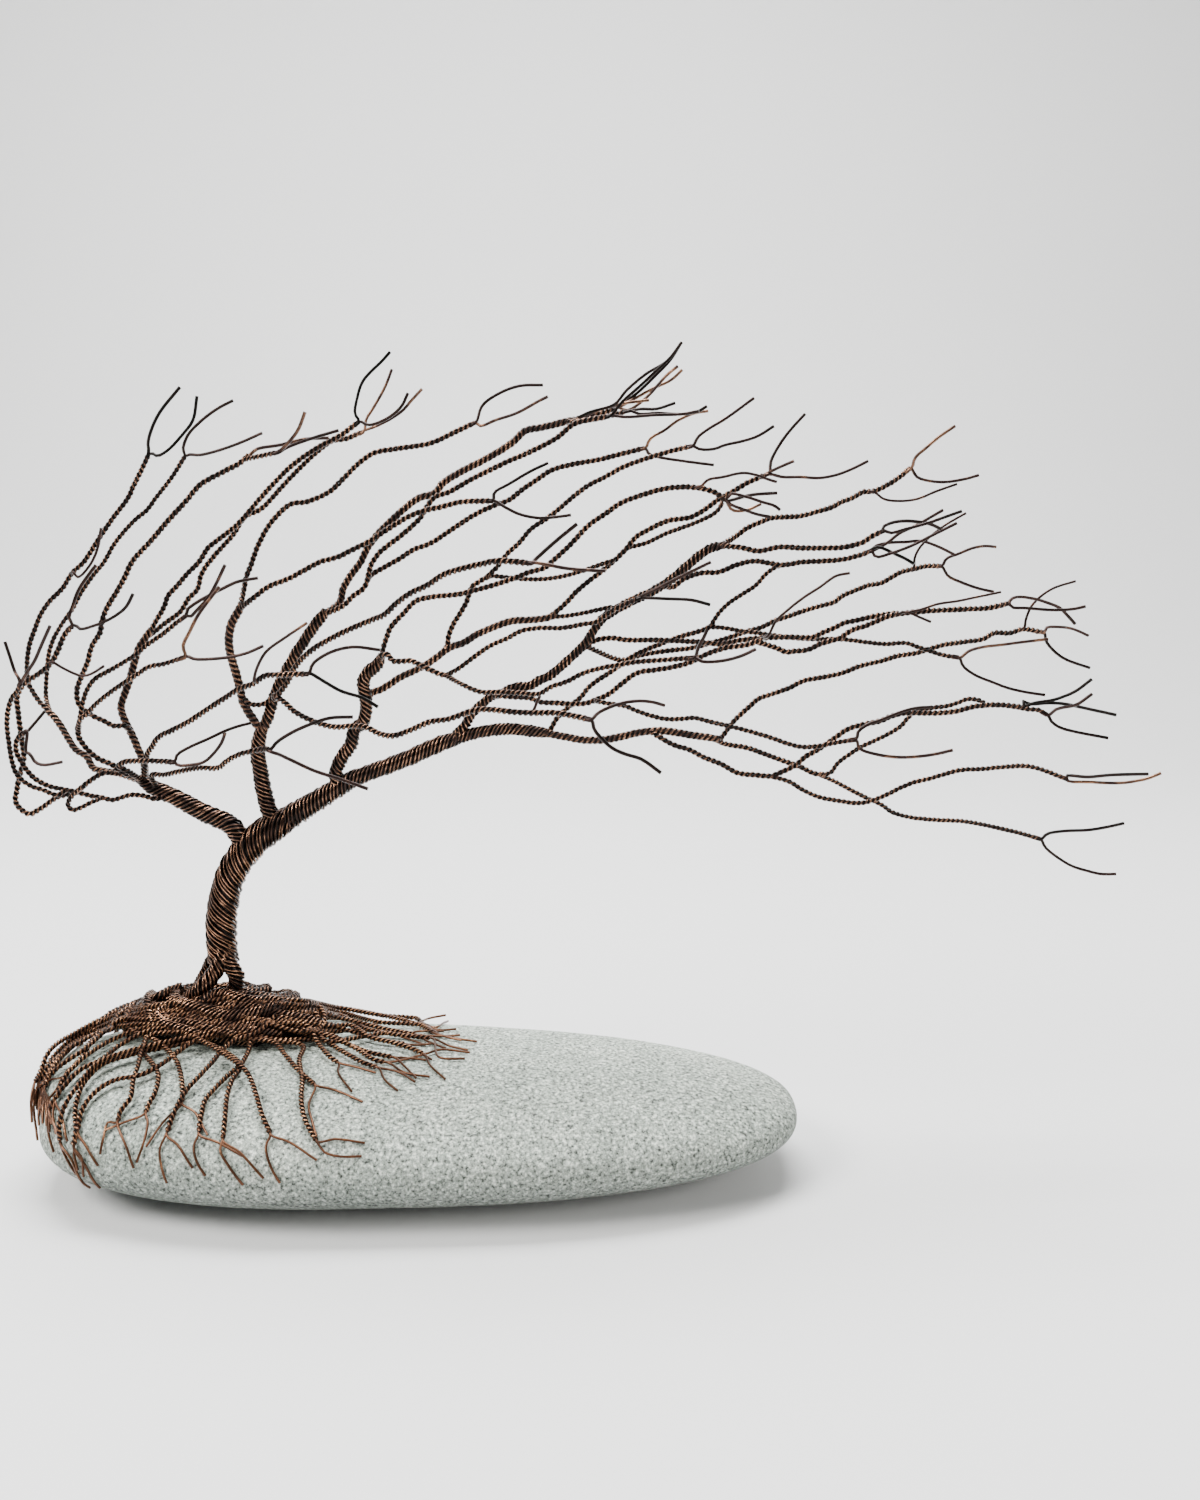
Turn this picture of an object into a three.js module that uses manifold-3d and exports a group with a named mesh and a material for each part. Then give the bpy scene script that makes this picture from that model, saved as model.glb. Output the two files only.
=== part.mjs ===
import * as THREE from "three";
import Module from "manifold-3d";
import { mergeVertices } from "three/addons/utils/BufferGeometryUtils.js";

// A windswept tree of twisted copper wire whose roots spread over a flat beach pebble.
// Millimetres, +Z up, +X the way the wind blows, origin at the middle of the pebble's foot.

// The pebble
const pebbleLength = 148;
const pebbleWidth = 62;
const pebbleThickness = 24;
const footDepth = 1; // how deep the flat foot is worn into the underside
const planTaper = 0.1; // how much narrower the right half is than the left
const topTaper = 0.3; // how much the top falls towards the right
const underTaper = 0.1;
const endFullness = 2.55; // 2 is an ellipse, more is blunter
const leftTopFullness = 5; // the left end, above its middle
const sectionFullness = 2.2;

// The wire and the tree
const wireDiameter = 0.5;
const bundlePacking = 0.75; // copper's share of a bundle's section
const treeHeight = 127; // from the trunk's foot to the highest tip
const trunkFromEnd = 32.8; // the trunk's foot, from the pebble's left end
const trunkBack = 8.7;
const moundHeight = 9.1; // the coiled wires between the pebble and the trunk's foot
const moundLong = 22;
const moundDeep = 12;
const coilDiameter = 3.4;
const clearance = 0.3; // between the tree's parts, and between the tree and the pebble
const rootLift = 1.1; // from the pebble to a root cord's underside, which its straight steps use up

// Facets
const thickStep = 8;
const cordStep = 12;
const tipStep = 13;
const pebbleRounds = [24, 12];
const lap = 1.2; // how far a branch starts inside the one that it leaves
const tipSpread = 2.5; // how far the loose wires part, to the front and to the back

// The tree's routes are read off one front view of it, in drawing units across and down, seen by
// an eye in front of it and above it. Each route's depth is in millimetres behind the trunk's plane.
const drawnHeight = 635; // drawing units from the trunk's foot to the highest tip
const unit = treeHeight / drawnHeight;
const drawnCentre = [600, 750]; // the point straight ahead of the eye
const eyeDistance = 1300; // in drawing units, as the next three are
const eyeRight = 381;
const eyeBefore = 1258;
const eyeAbove = 464;
const eyeDrop = THREE.MathUtils.degToRad(10);

const wasm = await Module();
wasm.setup();

// A closed three.js geometry as a solid that can be joined and cut.
function solid(geometry) {
  const bare = geometry.clone();
  bare.deleteAttribute("normal");
  bare.deleteAttribute("uv");
  const merged = mergeVertices(bare, 1e-4);
  return new wasm.Manifold(
    new wasm.Mesh({
      numProp: 3,
      vertProperties: new Float32Array(merged.attributes.position.array),
      triVerts: new Uint32Array(merged.index.array),
    }),
  );
}

function meshOf(name, body, material) {
  const { vertProperties, triVerts } = body.getMesh();
  const geometry = new THREE.BufferGeometry();
  geometry.setAttribute("position", new THREE.BufferAttribute(vertProperties, 3));
  geometry.setIndex(new THREE.BufferAttribute(triVerts, 1));
  geometry.computeVertexNormals();
  const mesh = new THREE.Mesh(geometry, material);
  mesh.name = name;
  return mesh;
}

const join = (bodies) => bodies.reduce((whole, body) => whole.add(body));

// The pebble: an egg-shaped plan and a full, rounded section. Each size is asked for at a place
// along the length from -1 to 1, and grown is how far outside the true surface it lies.
const fullness = (along, end) => Math.pow(Math.max(0, 1 - Math.pow(Math.abs(along), end)), 1 / end);
const halfWidth = (along, grown) =>
  (pebbleWidth / 2 + grown) * fullness(along, endFullness) * (1 - planTaper * along);
const topHeight = (along, grown) => {
  const end = along < 0 ? leftTopFullness : endFullness;
  return (pebbleThickness / 2 + grown) * fullness(along, end) * (1 - topTaper * along);
};
const underHeight = (along, grown) =>
  (pebbleThickness / 2 + grown) * fullness(along, endFullness) * (1 - underTaper * along);
const pebbleMiddle = pebbleThickness / 2 - footDepth;

function pebbleSolid(grown) {
  const shape = new THREE.SphereGeometry(1, ...pebbleRounds);
  const at = shape.attributes.position;
  for (let i = 0; i < at.count; i += 1) {
    // the sphere's poles become the pebble's two ends
    const along = at.getY(i);
    const round = Math.atan2(-at.getX(i), at.getZ(i));
    const across = Math.sin(round);
    const rise = Math.cos(round);
    const power = 2 / sectionFullness;
    const height = rise > 0 ? topHeight(along, grown) : underHeight(along, grown);
    at.setXYZ(
      i,
      (pebbleLength / 2 + grown) * along,
      halfWidth(along, grown) * Math.sign(across) * Math.pow(Math.abs(across), power),
      pebbleMiddle + height * Math.sign(rise) * Math.pow(Math.abs(rise), power),
    );
  }
  return solid(shape);
}

// Below 1 inside the pebble's surface, above 1 outside it.
function outside(point, grown) {
  const along = point.x / (pebbleLength / 2 + grown);
  if (Math.abs(along) >= 1) {
    return 2;
  }
  const rise = point.z - pebbleMiddle;
  const height = rise > 0 ? topHeight(along, grown) : underHeight(along, grown);
  const across = Math.abs(point.y) / halfWidth(along, grown);
  const up = Math.abs(rise) / height;
  return Math.pow(across, sectionFullness) + Math.pow(up, sectionFullness);
}

function pebbleTop(x, y) {
  const along = x / (pebbleLength / 2);
  const across = Math.pow(Math.abs(y) / halfWidth(along, 0), sectionFullness);
  const up = Math.pow(Math.max(0, 1 - across), 1 / sectionFullness);
  return pebbleMiddle + topHeight(along, 0) * up;
}

const trunkAcross = trunkFromEnd - pebbleLength / 2;
const trunkFoot = new THREE.Vector3(
  trunkAcross,
  trunkBack,
  pebbleTop(trunkAcross, trunkBack) + moundHeight,
);
const eye = new THREE.Vector3(eyeRight, -eyeBefore, eyeAbove).multiplyScalar(unit).add(trunkFoot);

// The line of sight through a point of the front view.
function sight([across, down]) {
  const right = (across - drawnCentre[0]) / eyeDistance;
  const up = (drawnCentre[1] - down) / eyeDistance;
  return new THREE.Vector3(
    right,
    Math.cos(eyeDrop) + up * Math.sin(eyeDrop),
    up * Math.cos(eyeDrop) - Math.sin(eyeDrop),
  );
}

function inTree(drawn, depth) {
  const line = sight(drawn);
  return eye.clone().addScaledVector(line, (trunkFoot.y + depth - eye.y) / line.y);
}

// Where the line of sight meets the pebble, or passes it most closely.
function onPebble(drawn, lift) {
  const line = sight(drawn);
  const stretch = 0.5 * unit;
  const start = eyeBefore * unit - pebbleWidth;
  const stop = eyeBefore * unit + pebbleWidth;
  let nearest = null;
  let least = Infinity;
  for (let reach = start; reach < stop; reach += stretch) {
    const point = eye.clone().addScaledVector(line, reach);
    const measure = outside(point, lift);
    if (measure < least) {
      least = measure;
      nearest = point;
    }
    if (measure <= 1) {
      break;
    }
  }
  return nearest;
}

// A point moved straight out from the pebble's long axis until it is clear of the surface.
function clearOf(point, lift) {
  const measure = outside(point, lift);
  if (measure >= 1) {
    return point;
  }
  const factor = Math.pow(measure, -1 / sectionFullness);
  return new THREE.Vector3(point.x, point.y * factor, pebbleMiddle + (point.z - pebbleMiddle) * factor);
}

// A bundle of n wires laid together has this radius; two wires twisted are as wide as both.
function bundleRadius(wires) {
  if (wires <= 2) {
    return (wires * wireDiameter) / 2;
  }
  return (wireDiameter * Math.sqrt(wires / bundlePacking)) / 2;
}

function sidesOf(wires) {
  if (wires > 12) {
    return 8;
  }
  return wires > 4 ? 4 : 3;
}

// A bundle along a smooth route, and the straight steps of its axis, which its own branches leave.
function bundle(points, wires, grown = 0, steps = null) {
  const curve = new THREE.CatmullRomCurve3(points, false, "centripetal");
  const count = steps ?? Math.max(2, Math.ceil(curve.getLength() / (wires > 12 ? thickStep : cordStep)));
  const sides = sidesOf(wires);
  const radius = bundleRadius(wires) + grown;
  const section = new THREE.Shape();
  for (let i = 0; i < sides; i += 1) {
    const turn = (2 * Math.PI * i) / sides;
    const x = radius * Math.cos(turn);
    const y = radius * Math.sin(turn);
    if (i === 0) {
      section.moveTo(x, y);
    } else {
      section.lineTo(x, y);
    }
  }
  section.closePath();
  const shape = new THREE.ExtrudeGeometry(section, {
    steps: count,
    bevelEnabled: false,
    extrudePath: curve,
  });
  return { body: solid(shape), axis: curve.getSpacedPoints(count), points, wires };
}

// The point of a bundle's axis nearest to another point, set back by the lap.
function leaving(parent, point) {
  let best = null;
  let least = Infinity;
  parent.axis.slice(1).forEach((end, i) => {
    const start = parent.axis[i];
    const chord = new THREE.Line3(start, end);
    const near = chord.closestPointToPoint(point, true, new THREE.Vector3());
    const distance = near.distanceTo(point);
    if (distance < least) {
      least = distance;
      const ahead = end.clone().sub(start).normalize();
      best = near.clone().addScaledVector(ahead, -Math.min(lap, near.distanceTo(start)));
    }
  });
  return best;
}

// A single wire that springs from a bundle's end and bends to its own tip.
function tip(parent, place, index, total, lay = (point) => point) {
  const last = parent.axis.length - 1;
  const end = parent.axis[last];
  const ahead = end.clone().sub(parent.axis[last - 1]).normalize();
  const reach = end.distanceTo(place);
  const bend = new THREE.QuadraticBezierCurve3(end, end.clone().addScaledVector(ahead, reach * 0.45), place);
  const aside = new THREE.Vector3(0, (index - (total - 1) / 2) * wireDiameter * 0.3, 0);
  const start = end.clone().addScaledVector(ahead, -lap);
  const steps = Math.ceil(reach / tipStep);
  const bent = bend.getPoints(steps).slice(1).map((point) => lay(point.add(aside)));
  return bundle([start, ...bent], 1, 0, steps);
}

// The room that a bundle needs in a neighbour that is parted from it
function roomFor({ points, wires }) {
  const end = points.at(-1);
  const ahead = end.clone().sub(points.at(-2)).normalize();
  const longer = [...points.slice(0, -1), end.clone().addScaledVector(ahead, clearance)];
  return bundle(longer, wires, clearance).body;
}

// Builds one limb from its list of branches, each one a name, the branch that it leaves, its
// wires, its depths at start and end, its route and the tips of its loose wires. Where a branch
// leaves one of another limb, it stops short of it by the clearance, as it does beside the
// neighbours that spring from the same place.
function grow(branches, grown, neighbours = []) {
  const bodies = [];
  const own = new Set(branches.map(([name]) => name));
  const others = new Set(neighbours);
  for (const [name, from, wires, [near, far], route, tips = []] of branches) {
    const points = route.map((drawn, i) =>
      inTree(drawn, near + ((far - near) * (i + 1)) / route.length),
    );
    points.unshift(leaving(grown[from], points[0]));
    if (!own.has(from)) {
      others.add(from);
    }
    grown[name] = bundle(points, wires);
    bodies.push(grown[name].body);
    tips.forEach((drawn, i) => {
      const spread = (i % 2 === 0 ? 1 : -1) * tipSpread;
      bodies.push(tip(grown[name], inTree(drawn, far + spread), i, tips.length).body);
    });
  }
  return [...others].reduce((whole, name) => whole.subtract(roomFor(grown[name])), join(bodies));
}

// The trunk's wires, up to the shoulder where the three limbs part
const trunkWires = 110;
const trunkRoute = [[225, 985], [222, 950], [222, 915], [229, 880], [245, 852], [266, 832], [294, 815]];

// The left limb, swept back over the pebble's left end and then forward above the trunk
const leftLimb = [
  ["left", "trunk", 36, [0, 0], [[232, 826], [200, 811], [168, 794], [138, 778]]],
  ["front", "left", 4, [-4, -8], [[111, 764], [87, 749], [78, 726]]],
  ["front high", "front", 2, [-8, -10],
    [[83, 702], [95, 679], [135, 655], [183, 618]],
    [[258, 578], [225, 565]]],
  ["front low", "front", 2, [-11, -16],
    [[87, 714], [107, 695], [149, 667], [182, 658]],
    [[220, 586], [263, 646]]],
  ["nearest", "left", 4, [-4, -22],
    [[152, 747], [173, 730], [208, 709], [253, 684], [280, 675], [305, 674]],
    [[380, 650], [378, 707]]],
  ["nearest side", "nearest", 1, [-19, -20], [[266, 652], [286, 637], [307, 623]]],
  ["curl", "left", 3, [-5, -12], [[125, 762], [152, 761], [171, 762]], [[251, 723], [225, 733]]],
  ["low", "left", 3, [-3, -20],
    [[163, 778], [182, 771], [201, 768], [227, 761], [269, 750]],
    [[353, 717], [368, 789]]],
  ["second loop", "left", 3, [-2, -8],
    [[156, 799], [131, 795], [104, 798], [52, 787], [24, 766], [18, 738], [24, 733]],
    [[45, 711], [62, 762]]],
  ["third loop", "second loop", 2, [-6, -11],
    [[43, 790], [16, 773], [7, 726], [20, 684]],
    [[5, 642], [50, 626]]],
  ["small loop", "second loop", 2, [-6, -10], [[92, 800], [73, 810], [66, 803], [84, 786]]],
];

// Its outermost branches, which curl back round the pebble's left end before they turn
const leftOuterLimb = [
  ["outer", "left", 6, [1, 8], [[117, 773], [104, 771], [87, 757], [62, 728], [46, 710]]],
  ["outer high", "outer", 3, [8, 10],
    [[33, 692], [27, 670], [35, 629], [62, 589], [83, 563], [113, 518], [133, 487], [148, 456]],
    [[180, 387], [197, 396]]],
  ["outer side", "outer high", 1, [8, 6], [[78, 576], [90, 563], [98, 547], [101, 528]]],
  ["outer low", "outer", 2, [12, 18],
    [[46, 685], [49, 653], [73, 608], [104, 562], [147, 510], [184, 458]],
    [[234, 400], [262, 433]]],
  ["loop", "outer", 4, [-1, -4],
    [[90, 781], [58, 797], [29, 814], [16, 803], [24, 757], [17, 697], [40, 673], [71, 627]],
    [[96, 565], [133, 594]]],
  ["loop side", "loop", 1, [-4, -4], [[73, 673], [104, 666]]],
];

// Its inner branches, the highest on this side
const leftInnerLimb = [
  ["inner", "left", 8, [4, 10], [[144, 764], [133, 737], [121, 707], [130, 679], [138, 650], [151, 630]]],
  ["inner high", "inner", 4, [11, 14],
    [[168, 596], [199, 562], [240, 522], [277, 480], [324, 444], [356, 424]],
    [[390, 352], [408, 393]]],
  ["inner low", "inner", 4, [13, 20],
    [[160, 628], [183, 603], [197, 588], [215, 555], [245, 517], [291, 477], [332, 441], [360, 433]],
    [[392, 369], [422, 389]]],
  ["inward", "inner", 4, [4, -2],
    [[104, 721], [81, 707], [77, 690], [92, 646], [107, 608], [132, 562], [167, 522], [200, 485], [249, 455]],
    [[329, 438]]],
  ["inward end", "inward", 2, [-3, -5], [[260, 454], [275, 453]], [[340, 430], [305, 412]]],
];

// The middle limb, which climbs out of the shoulder and leans with the wind
const middleLimb = [
  ["middle", "trunk", 20, [0, 0], [[265, 796], [259, 765], [259, 741], [263, 725]]],
  ["left fork", "middle", 8, [0, 0], [[251, 716], [241, 693], [230, 652], [232, 623], [242, 604]]],
  ["left high", "left fork", 4, [2, 8],
    [[251, 565], [274, 519], [306, 502], [342, 480], [374, 453], [431, 443], [472, 424]],
    [[543, 385], [549, 396]]],
  ["left low", "left fork", 4, [-3, -6],
    [[251, 600], [288, 579], [338, 557], [378, 534], [419, 513], [461, 502], [489, 501]],
    [[548, 463], [571, 515]]],
];

// Its right fork, with the highest branches of all and two that come far to the front
const middleForkLimb = [
  ["right fork", "middle", 14, [0, 0], [[268, 718], [275, 695], [297, 652], [326, 611]]],
  ["upper", "right fork", 8, [2, 12],
    [[340, 602], [351, 575], [378, 534], [419, 498], [457, 474], [513, 442], [544, 427], [572, 420]],
    [[650, 400], [682, 342]]],
  ["upper end", "upper", 4, [13, 15], [[590, 417], [613, 409]], [[681, 343], [678, 366], [682, 370]]],
  ["lower end", "upper", 3, [10, 9], [[599, 421], [624, 412]], [[675, 403], [707, 406]]],
  ["lower", "right fork", 4, [-2, 3],
    [[353, 596], [367, 581], [380, 545], [420, 506], [449, 492], [511, 460], [558, 437], [605, 417]],
    [[667, 361], [699, 411]]],
  ["under", "lower", 4, [3, 9],
    [[383, 568], [431, 543], [476, 514], [523, 489], [574, 464], [617, 455], [641, 449]],
    [[708, 411], [714, 465]]],
  ["near", "right fork", 4, [-6, -35],
    [[286, 685], [315, 648], [353, 628], [397, 603], [443, 575], [482, 564], [528, 563]],
    [[577, 524], [607, 571]]],
  ["near low", "right fork", 4, [-6, -34],
    [[284, 702], [315, 722], [353, 726], [393, 736], [430, 722], [476, 710], [533, 713], [587, 719]],
    [[666, 706], [661, 773]]],
];

// The right limb, the longest, stretched out over the pebble
const rightLimb = [
  ["right", "trunk", 32, [0, 0], [[318, 800], [338, 788], [380, 769], [411, 757], [440, 744]]],
  ["right on", "right", 20, [0, 0], [[476, 733], [512, 729], [548, 733]]],
  ["right out", "right on", 9, [0, 0], [[584, 740], [620, 737], [652, 731], [691, 735], [719, 739]]],
  ["ninth", "right out", 4, [4, 18],
    [[741, 714], [772, 694], [824, 677], [881, 661], [943, 645], [994, 633], [1041, 632]],
    [[1089, 636], [1090, 668]]],
  ["ninth side", "ninth", 1, [17, 17], [[1031, 607], [1076, 581]]],
  ["tenth", "right out", 4, [-1, -4], [[674, 745], [703, 757], [738, 773], [777, 777]]],
  ["tenth high", "tenth", 4, [-4, -3],
    [[796, 765], [848, 729], [905, 713], [957, 711], [1020, 707]],
    [[1116, 715], [1092, 679]]],
  ["tenth end", "tenth high", 2, [-3, -4], [[1032, 711], [1044, 713]], [[1092, 694], [1108, 738]]],
  ["tenth out", "tenth", 2, [-5, -7],
    [[803, 790], [840, 801], [886, 795], [945, 774], [1003, 767], [1064, 778]],
    [[1148, 774], [1161, 773]]],
  ["eleventh", "right out", 4, [2, 4], [[748, 748], [801, 767], [825, 775]]],
  ["eleventh high", "eleventh", 2, [4, 2], [[838, 763], [876, 740], [915, 712], [984, 703]]],
  ["eleventh out", "eleventh", 2, [5, 6],
    [[851, 790], [892, 812], [961, 821], [1037, 838]],
    [[1125, 823], [1116, 874]]],
];

// Its first branch, which climbs and spreads above the others
const rightUpperLimb = [
  ["first", "right", 14, [0, -4], [[343, 756], [355, 729], [366, 712], [363, 683], [382, 654]]],
  ["first high", "first", 4, [-2, 0],
    [[391, 627], [416, 601], [460, 594], [512, 579], [556, 558], [589, 525], [642, 495], [683, 487],
      [723, 498]],
    [[771, 517], [781, 511], [777, 493]]],
  ["first side", "first high", 1, [-1, -2], [[708, 480], [743, 473], [777, 482]]],
  ["first low", "first", 4, [-6, -12], [[393, 661], [430, 670], [451, 676]]],
  ["low twig", "first low", 2, [-13, -16],
    [[470, 660], [508, 638], [562, 628], [596, 622], [637, 599]],
    [[711, 605], [711, 562]]],
  ["low drop", "first low", 2, [-15, -28],
    [[463, 685], [499, 692], [539, 694], [584, 673], [637, 662], [690, 658]],
    [[707, 630], [756, 649]]],
  ["first middle", "first", 8, [-1, 4],
    [[382, 689], [420, 668], [449, 648], [494, 627], [530, 620], [555, 615]]],
  ["middle high", "first middle", 4, [4, 4],
    [[576, 592], [615, 560], [636, 537], [691, 517], [732, 492], [765, 475]],
    [[805, 414], [794, 461], [868, 461]]],
  ["middle twin", "middle high", 2, [5, 8], [[646, 543], [681, 528], [723, 502]], [[761, 504]]],
  ["middle bridge", "first middle", 2, [4, 2], [[584, 613], [610, 607]]],
  ["upright", "first middle", 4, [2, 1], [[454, 623], [469, 594], [492, 575]]],
  ["upright high", "upright", 3, [0, 1],
    [[507, 554], [546, 519], [589, 485], [636, 462], [688, 447]],
    [[754, 398], [774, 426]]],
  ["upright low", "upright", 2, [2, 3], [[523, 579], [564, 576], [604, 567]]],
];

// Its second branch, which fans out in the middle
const rightMiddleLimb = [
  ["second", "right", 12, [0, 0],
    [[472, 714], [503, 693], [551, 675], [587, 641], [612, 612], [655, 590], [688, 565], [727, 545]]],
  ["second back", "second", 4, [3, 14],
    [[747, 528], [784, 517], [832, 507], [874, 491], [908, 470]],
    [[955, 426], [979, 475]]],
  ["back side", "second back", 1, [11, 11], [[900, 501], [957, 484]]],
  ["second front", "second", 3, [-2, -4],
    [[758, 551], [802, 548], [845, 547], [881, 532]],
    [[941, 529], [962, 511]]],
  ["second middle", "second", 4, [2, 6],
    [[684, 579], [719, 572], [754, 561], [802, 562], [845, 559], [868, 552]],
    [[955, 555], [957, 523], [943, 510], [914, 564]]],
  ["sixth", "second", 4, [1, 2],
    [[610, 638], [655, 640], [721, 644], [790, 637], [834, 628], [898, 613]]],
  ["sixth side", "sixth", 1, [-2, -6], [[789, 609], [820, 587], [850, 573]]],
  ["back", "second", 4, [6, 22],
    [[652, 653], [721, 640], [774, 621], [834, 602], [881, 583], [938, 566]],
    [[996, 547], [994, 592]]],
  ["back twig", "back", 1, [20, 20], [[921, 546], [966, 513]]],
];

// The lowest fork of the second branch, below it and in front of it
const rightLowLimb = [
  ["fourth", "second", 4, [-2, -6], [[530, 698], [573, 704], [609, 694], [655, 670], [700, 659], [762, 640]]],
  ["fourth out", "fourth", 4, [-5, 0],
    [[787, 652], [820, 644], [877, 621], [926, 611], [1006, 604]],
    [[1075, 624], [1087, 606]]],
  ["fourth side", "fourth out", 1, [-2, -2], [[938, 604], [1001, 592]]],
  ["fifth", "fourth", 2, [-7, -12],
    [[625, 706], [680, 719], [733, 727], [803, 747], [852, 740]],
    [[932, 707], [953, 750]]],
];

// Its third branch, behind the second
const rightBackLimb = [
  ["third", "right on", 4, [3, 8], [[555, 721], [589, 687], [630, 658], [682, 636], [715, 625]]],
  ["third high", "third", 2, [8, 7], [[741, 595], [766, 574], [787, 564]]],
  ["third out", "third", 2, [7, 6],
    [[758, 633], [834, 639], [885, 644], [955, 657]],
    [[1049, 639], [1045, 695]]],
];

// The root cords, two wires each, laid over the pebble: a route and the tips of its two wires.
// Those marked both have a twin behind the pebble's middle.
const roots = [
  [false, [[110, 1015], [80, 1030], [50, 1050], [35, 1082]], [[32, 1123], [38, 1140]]],
  [false, [[105, 1030], [85, 1052], [65, 1075]], [[36, 1088], [40, 1110]]],
  [true, [[120, 1045], [80, 1070], [55, 1098], [50, 1108]], [[54, 1153]]],
  [false, [[115, 1055], [78, 1085], [59, 1125], [60, 1140]], [[80, 1178], [90, 1188]]],
  [false, [[160, 1065], [115, 1080], [88, 1100], [78, 1130]], [[78, 1160]]],
  [true, [[142, 1050], [133, 1080], [118, 1120]], [[100, 1155], [134, 1168]]],
  [false, [[153, 1065], [155, 1092], [146, 1111]], [[105, 1130], [137, 1162]]],
  [true, [[172, 1055], [182, 1085], [182, 1102]], [[146, 1147], [208, 1135]]],
  [false, [[222, 1050], [200, 1075], [180, 1100], [167, 1132]], [[167, 1184], [193, 1168]]],
  [true, [[240, 1065], [215, 1088], [201, 1115], [199, 1132]], [[206, 1177], [243, 1156]]],
  [true, [[243, 1068], [256, 1095], [270, 1133]], [[280, 1183], [317, 1160]]],
  [true, [[299, 1060], [301, 1100], [316, 1140]], [[365, 1143], [362, 1156]]],
  [false, [[285, 1055], [298, 1070], [314, 1084]], [[363, 1102], [317, 1137]]],
  [true, [[318, 1043], [330, 1057], [337, 1062]], [[352, 1092], [376, 1073]]],
  [true, [[345, 1053], [376, 1067]], [[398, 1091], [415, 1082]]],
  [true, [[355, 1048], [385, 1062]], [[422, 1055], [430, 1077]]],
  [false, [[370, 1037], [422, 1053]], [[445, 1079], [470, 1053]]],
  [false, [[370, 1030], [430, 1038]], [[450, 1046], [465, 1059]]],
  [false, [[340, 1012], [380, 1022], [432, 1032]], [[460, 1035], [477, 1042]]],
];

// The ring of coils on the pebble, round the trunk's flared foot
const ringLong = moundLong + coilDiameter / 2;
const ringDeep = moundDeep + coilDiameter / 2;

function ringPoint(angle) {
  const x = trunkFoot.x + ringLong * Math.cos(angle);
  const y = trunkFoot.y + ringDeep * Math.sin(angle);
  return new THREE.Vector3(x, y, pebbleTop(x, y) + coilDiameter / 2);
}

function ringBody() {
  const shape = new THREE.TorusGeometry(1, 0.5, 5, 18);
  const at = shape.attributes.position;
  for (let i = 0; i < at.count; i += 1) {
    const angle = Math.atan2(at.getY(i), at.getX(i));
    const outwards = Math.hypot(at.getX(i), at.getY(i)) - 1;
    const middle = ringPoint(angle);
    at.setXYZ(
      i,
      middle.x + Math.cos(angle) * outwards * coilDiameter,
      middle.y + Math.sin(angle) * outwards * coilDiameter,
      middle.z + at.getZ(i) * coilDiameter,
    );
  }
  return solid(shape);
}

// The mound of wires below the trunk: a flared cone, long in the pebble's direction
function moundBody(grown) {
  const top = bundleRadius(trunkWires) + grown;
  const wide = moundDeep + grown;
  const profile = [
    [0, -moundHeight * 1.5],
    [wide, -moundHeight * 1.5],
    [wide, -moundHeight * 0.75],
    [(wide + top) * 0.42, -moundHeight * 0.3],
    [top, grown],
    [0, grown],
  ].map(([radius, rise]) => new THREE.Vector2(radius, rise));
  const shape = new THREE.LatheGeometry(profile, 12);
  shape.rotateX(Math.PI / 2);
  shape.scale(moundLong / moundDeep, 1, 1);
  shape.translate(trunkFoot.x, trunkFoot.y, trunkFoot.z);
  return solid(shape);
}

function rootCord(both, route, tips) {
  const cordLift = rootLift + bundleRadius(2);
  const tipLift = rootLift + bundleRadius(1);
  const lay = (point) => clearOf(point, tipLift);
  const laid = route.map((drawn) => onPebble(drawn, cordLift));
  const ends = tips.map((drawn) => onPebble(drawn, tipLift));
  const sidesOfPebble = both ? [1, -1] : [1];
  return sidesOfPebble.flatMap((side) => {
    const turned = (point) => new THREE.Vector3(point.x, point.y * side, point.z);
    const path = laid.map(turned).filter((point, i) => {
      const x = (point.x - trunkFoot.x) / ringLong;
      const y = (point.y - trunkFoot.y) / ringDeep;
      return Math.hypot(x, y) > 1.2 || i === route.length - 1;
    });
    const first = path[0];
    const angle = Math.atan2((first.y - trunkFoot.y) / ringDeep, (first.x - trunkFoot.x) / ringLong);
    const cord = bundle([ringPoint(angle), ...path], 2);
    return [cord.body, ...ends.map((end, i) => tip(cord, turned(end), i, ends.length, lay).body)];
  });
}

const footBlock = new THREE.BoxGeometry(pebbleLength * 2, pebbleWidth * 2, pebbleThickness);
footBlock.translate(0, 0, -pebbleThickness / 2);
const pebble = pebbleSolid(0).subtract(solid(footBlock));

const trunkPoints = trunkRoute.map((drawn) => inTree(drawn, 0));
trunkPoints[0].z -= moundHeight / 2;
const trunk = bundle(trunkPoints, trunkWires);
const trunkBody = trunk.body.add(moundBody(0)).subtract(pebbleSolid(clearance));
const grown = { trunk };
const cords = roots.flatMap(([both, route, tips]) => rootCord(both, route, tips));
const ring = ringBody().subtract(pebbleSolid(clearance)).subtract(moundBody(clearance));

const stone = new THREE.MeshStandardMaterial({ color: 0xa9ada3, roughness: 0.85, metalness: 0 });
const copper = (color) => new THREE.MeshStandardMaterial({ color, roughness: 0.45, metalness: 0.9 });

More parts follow.
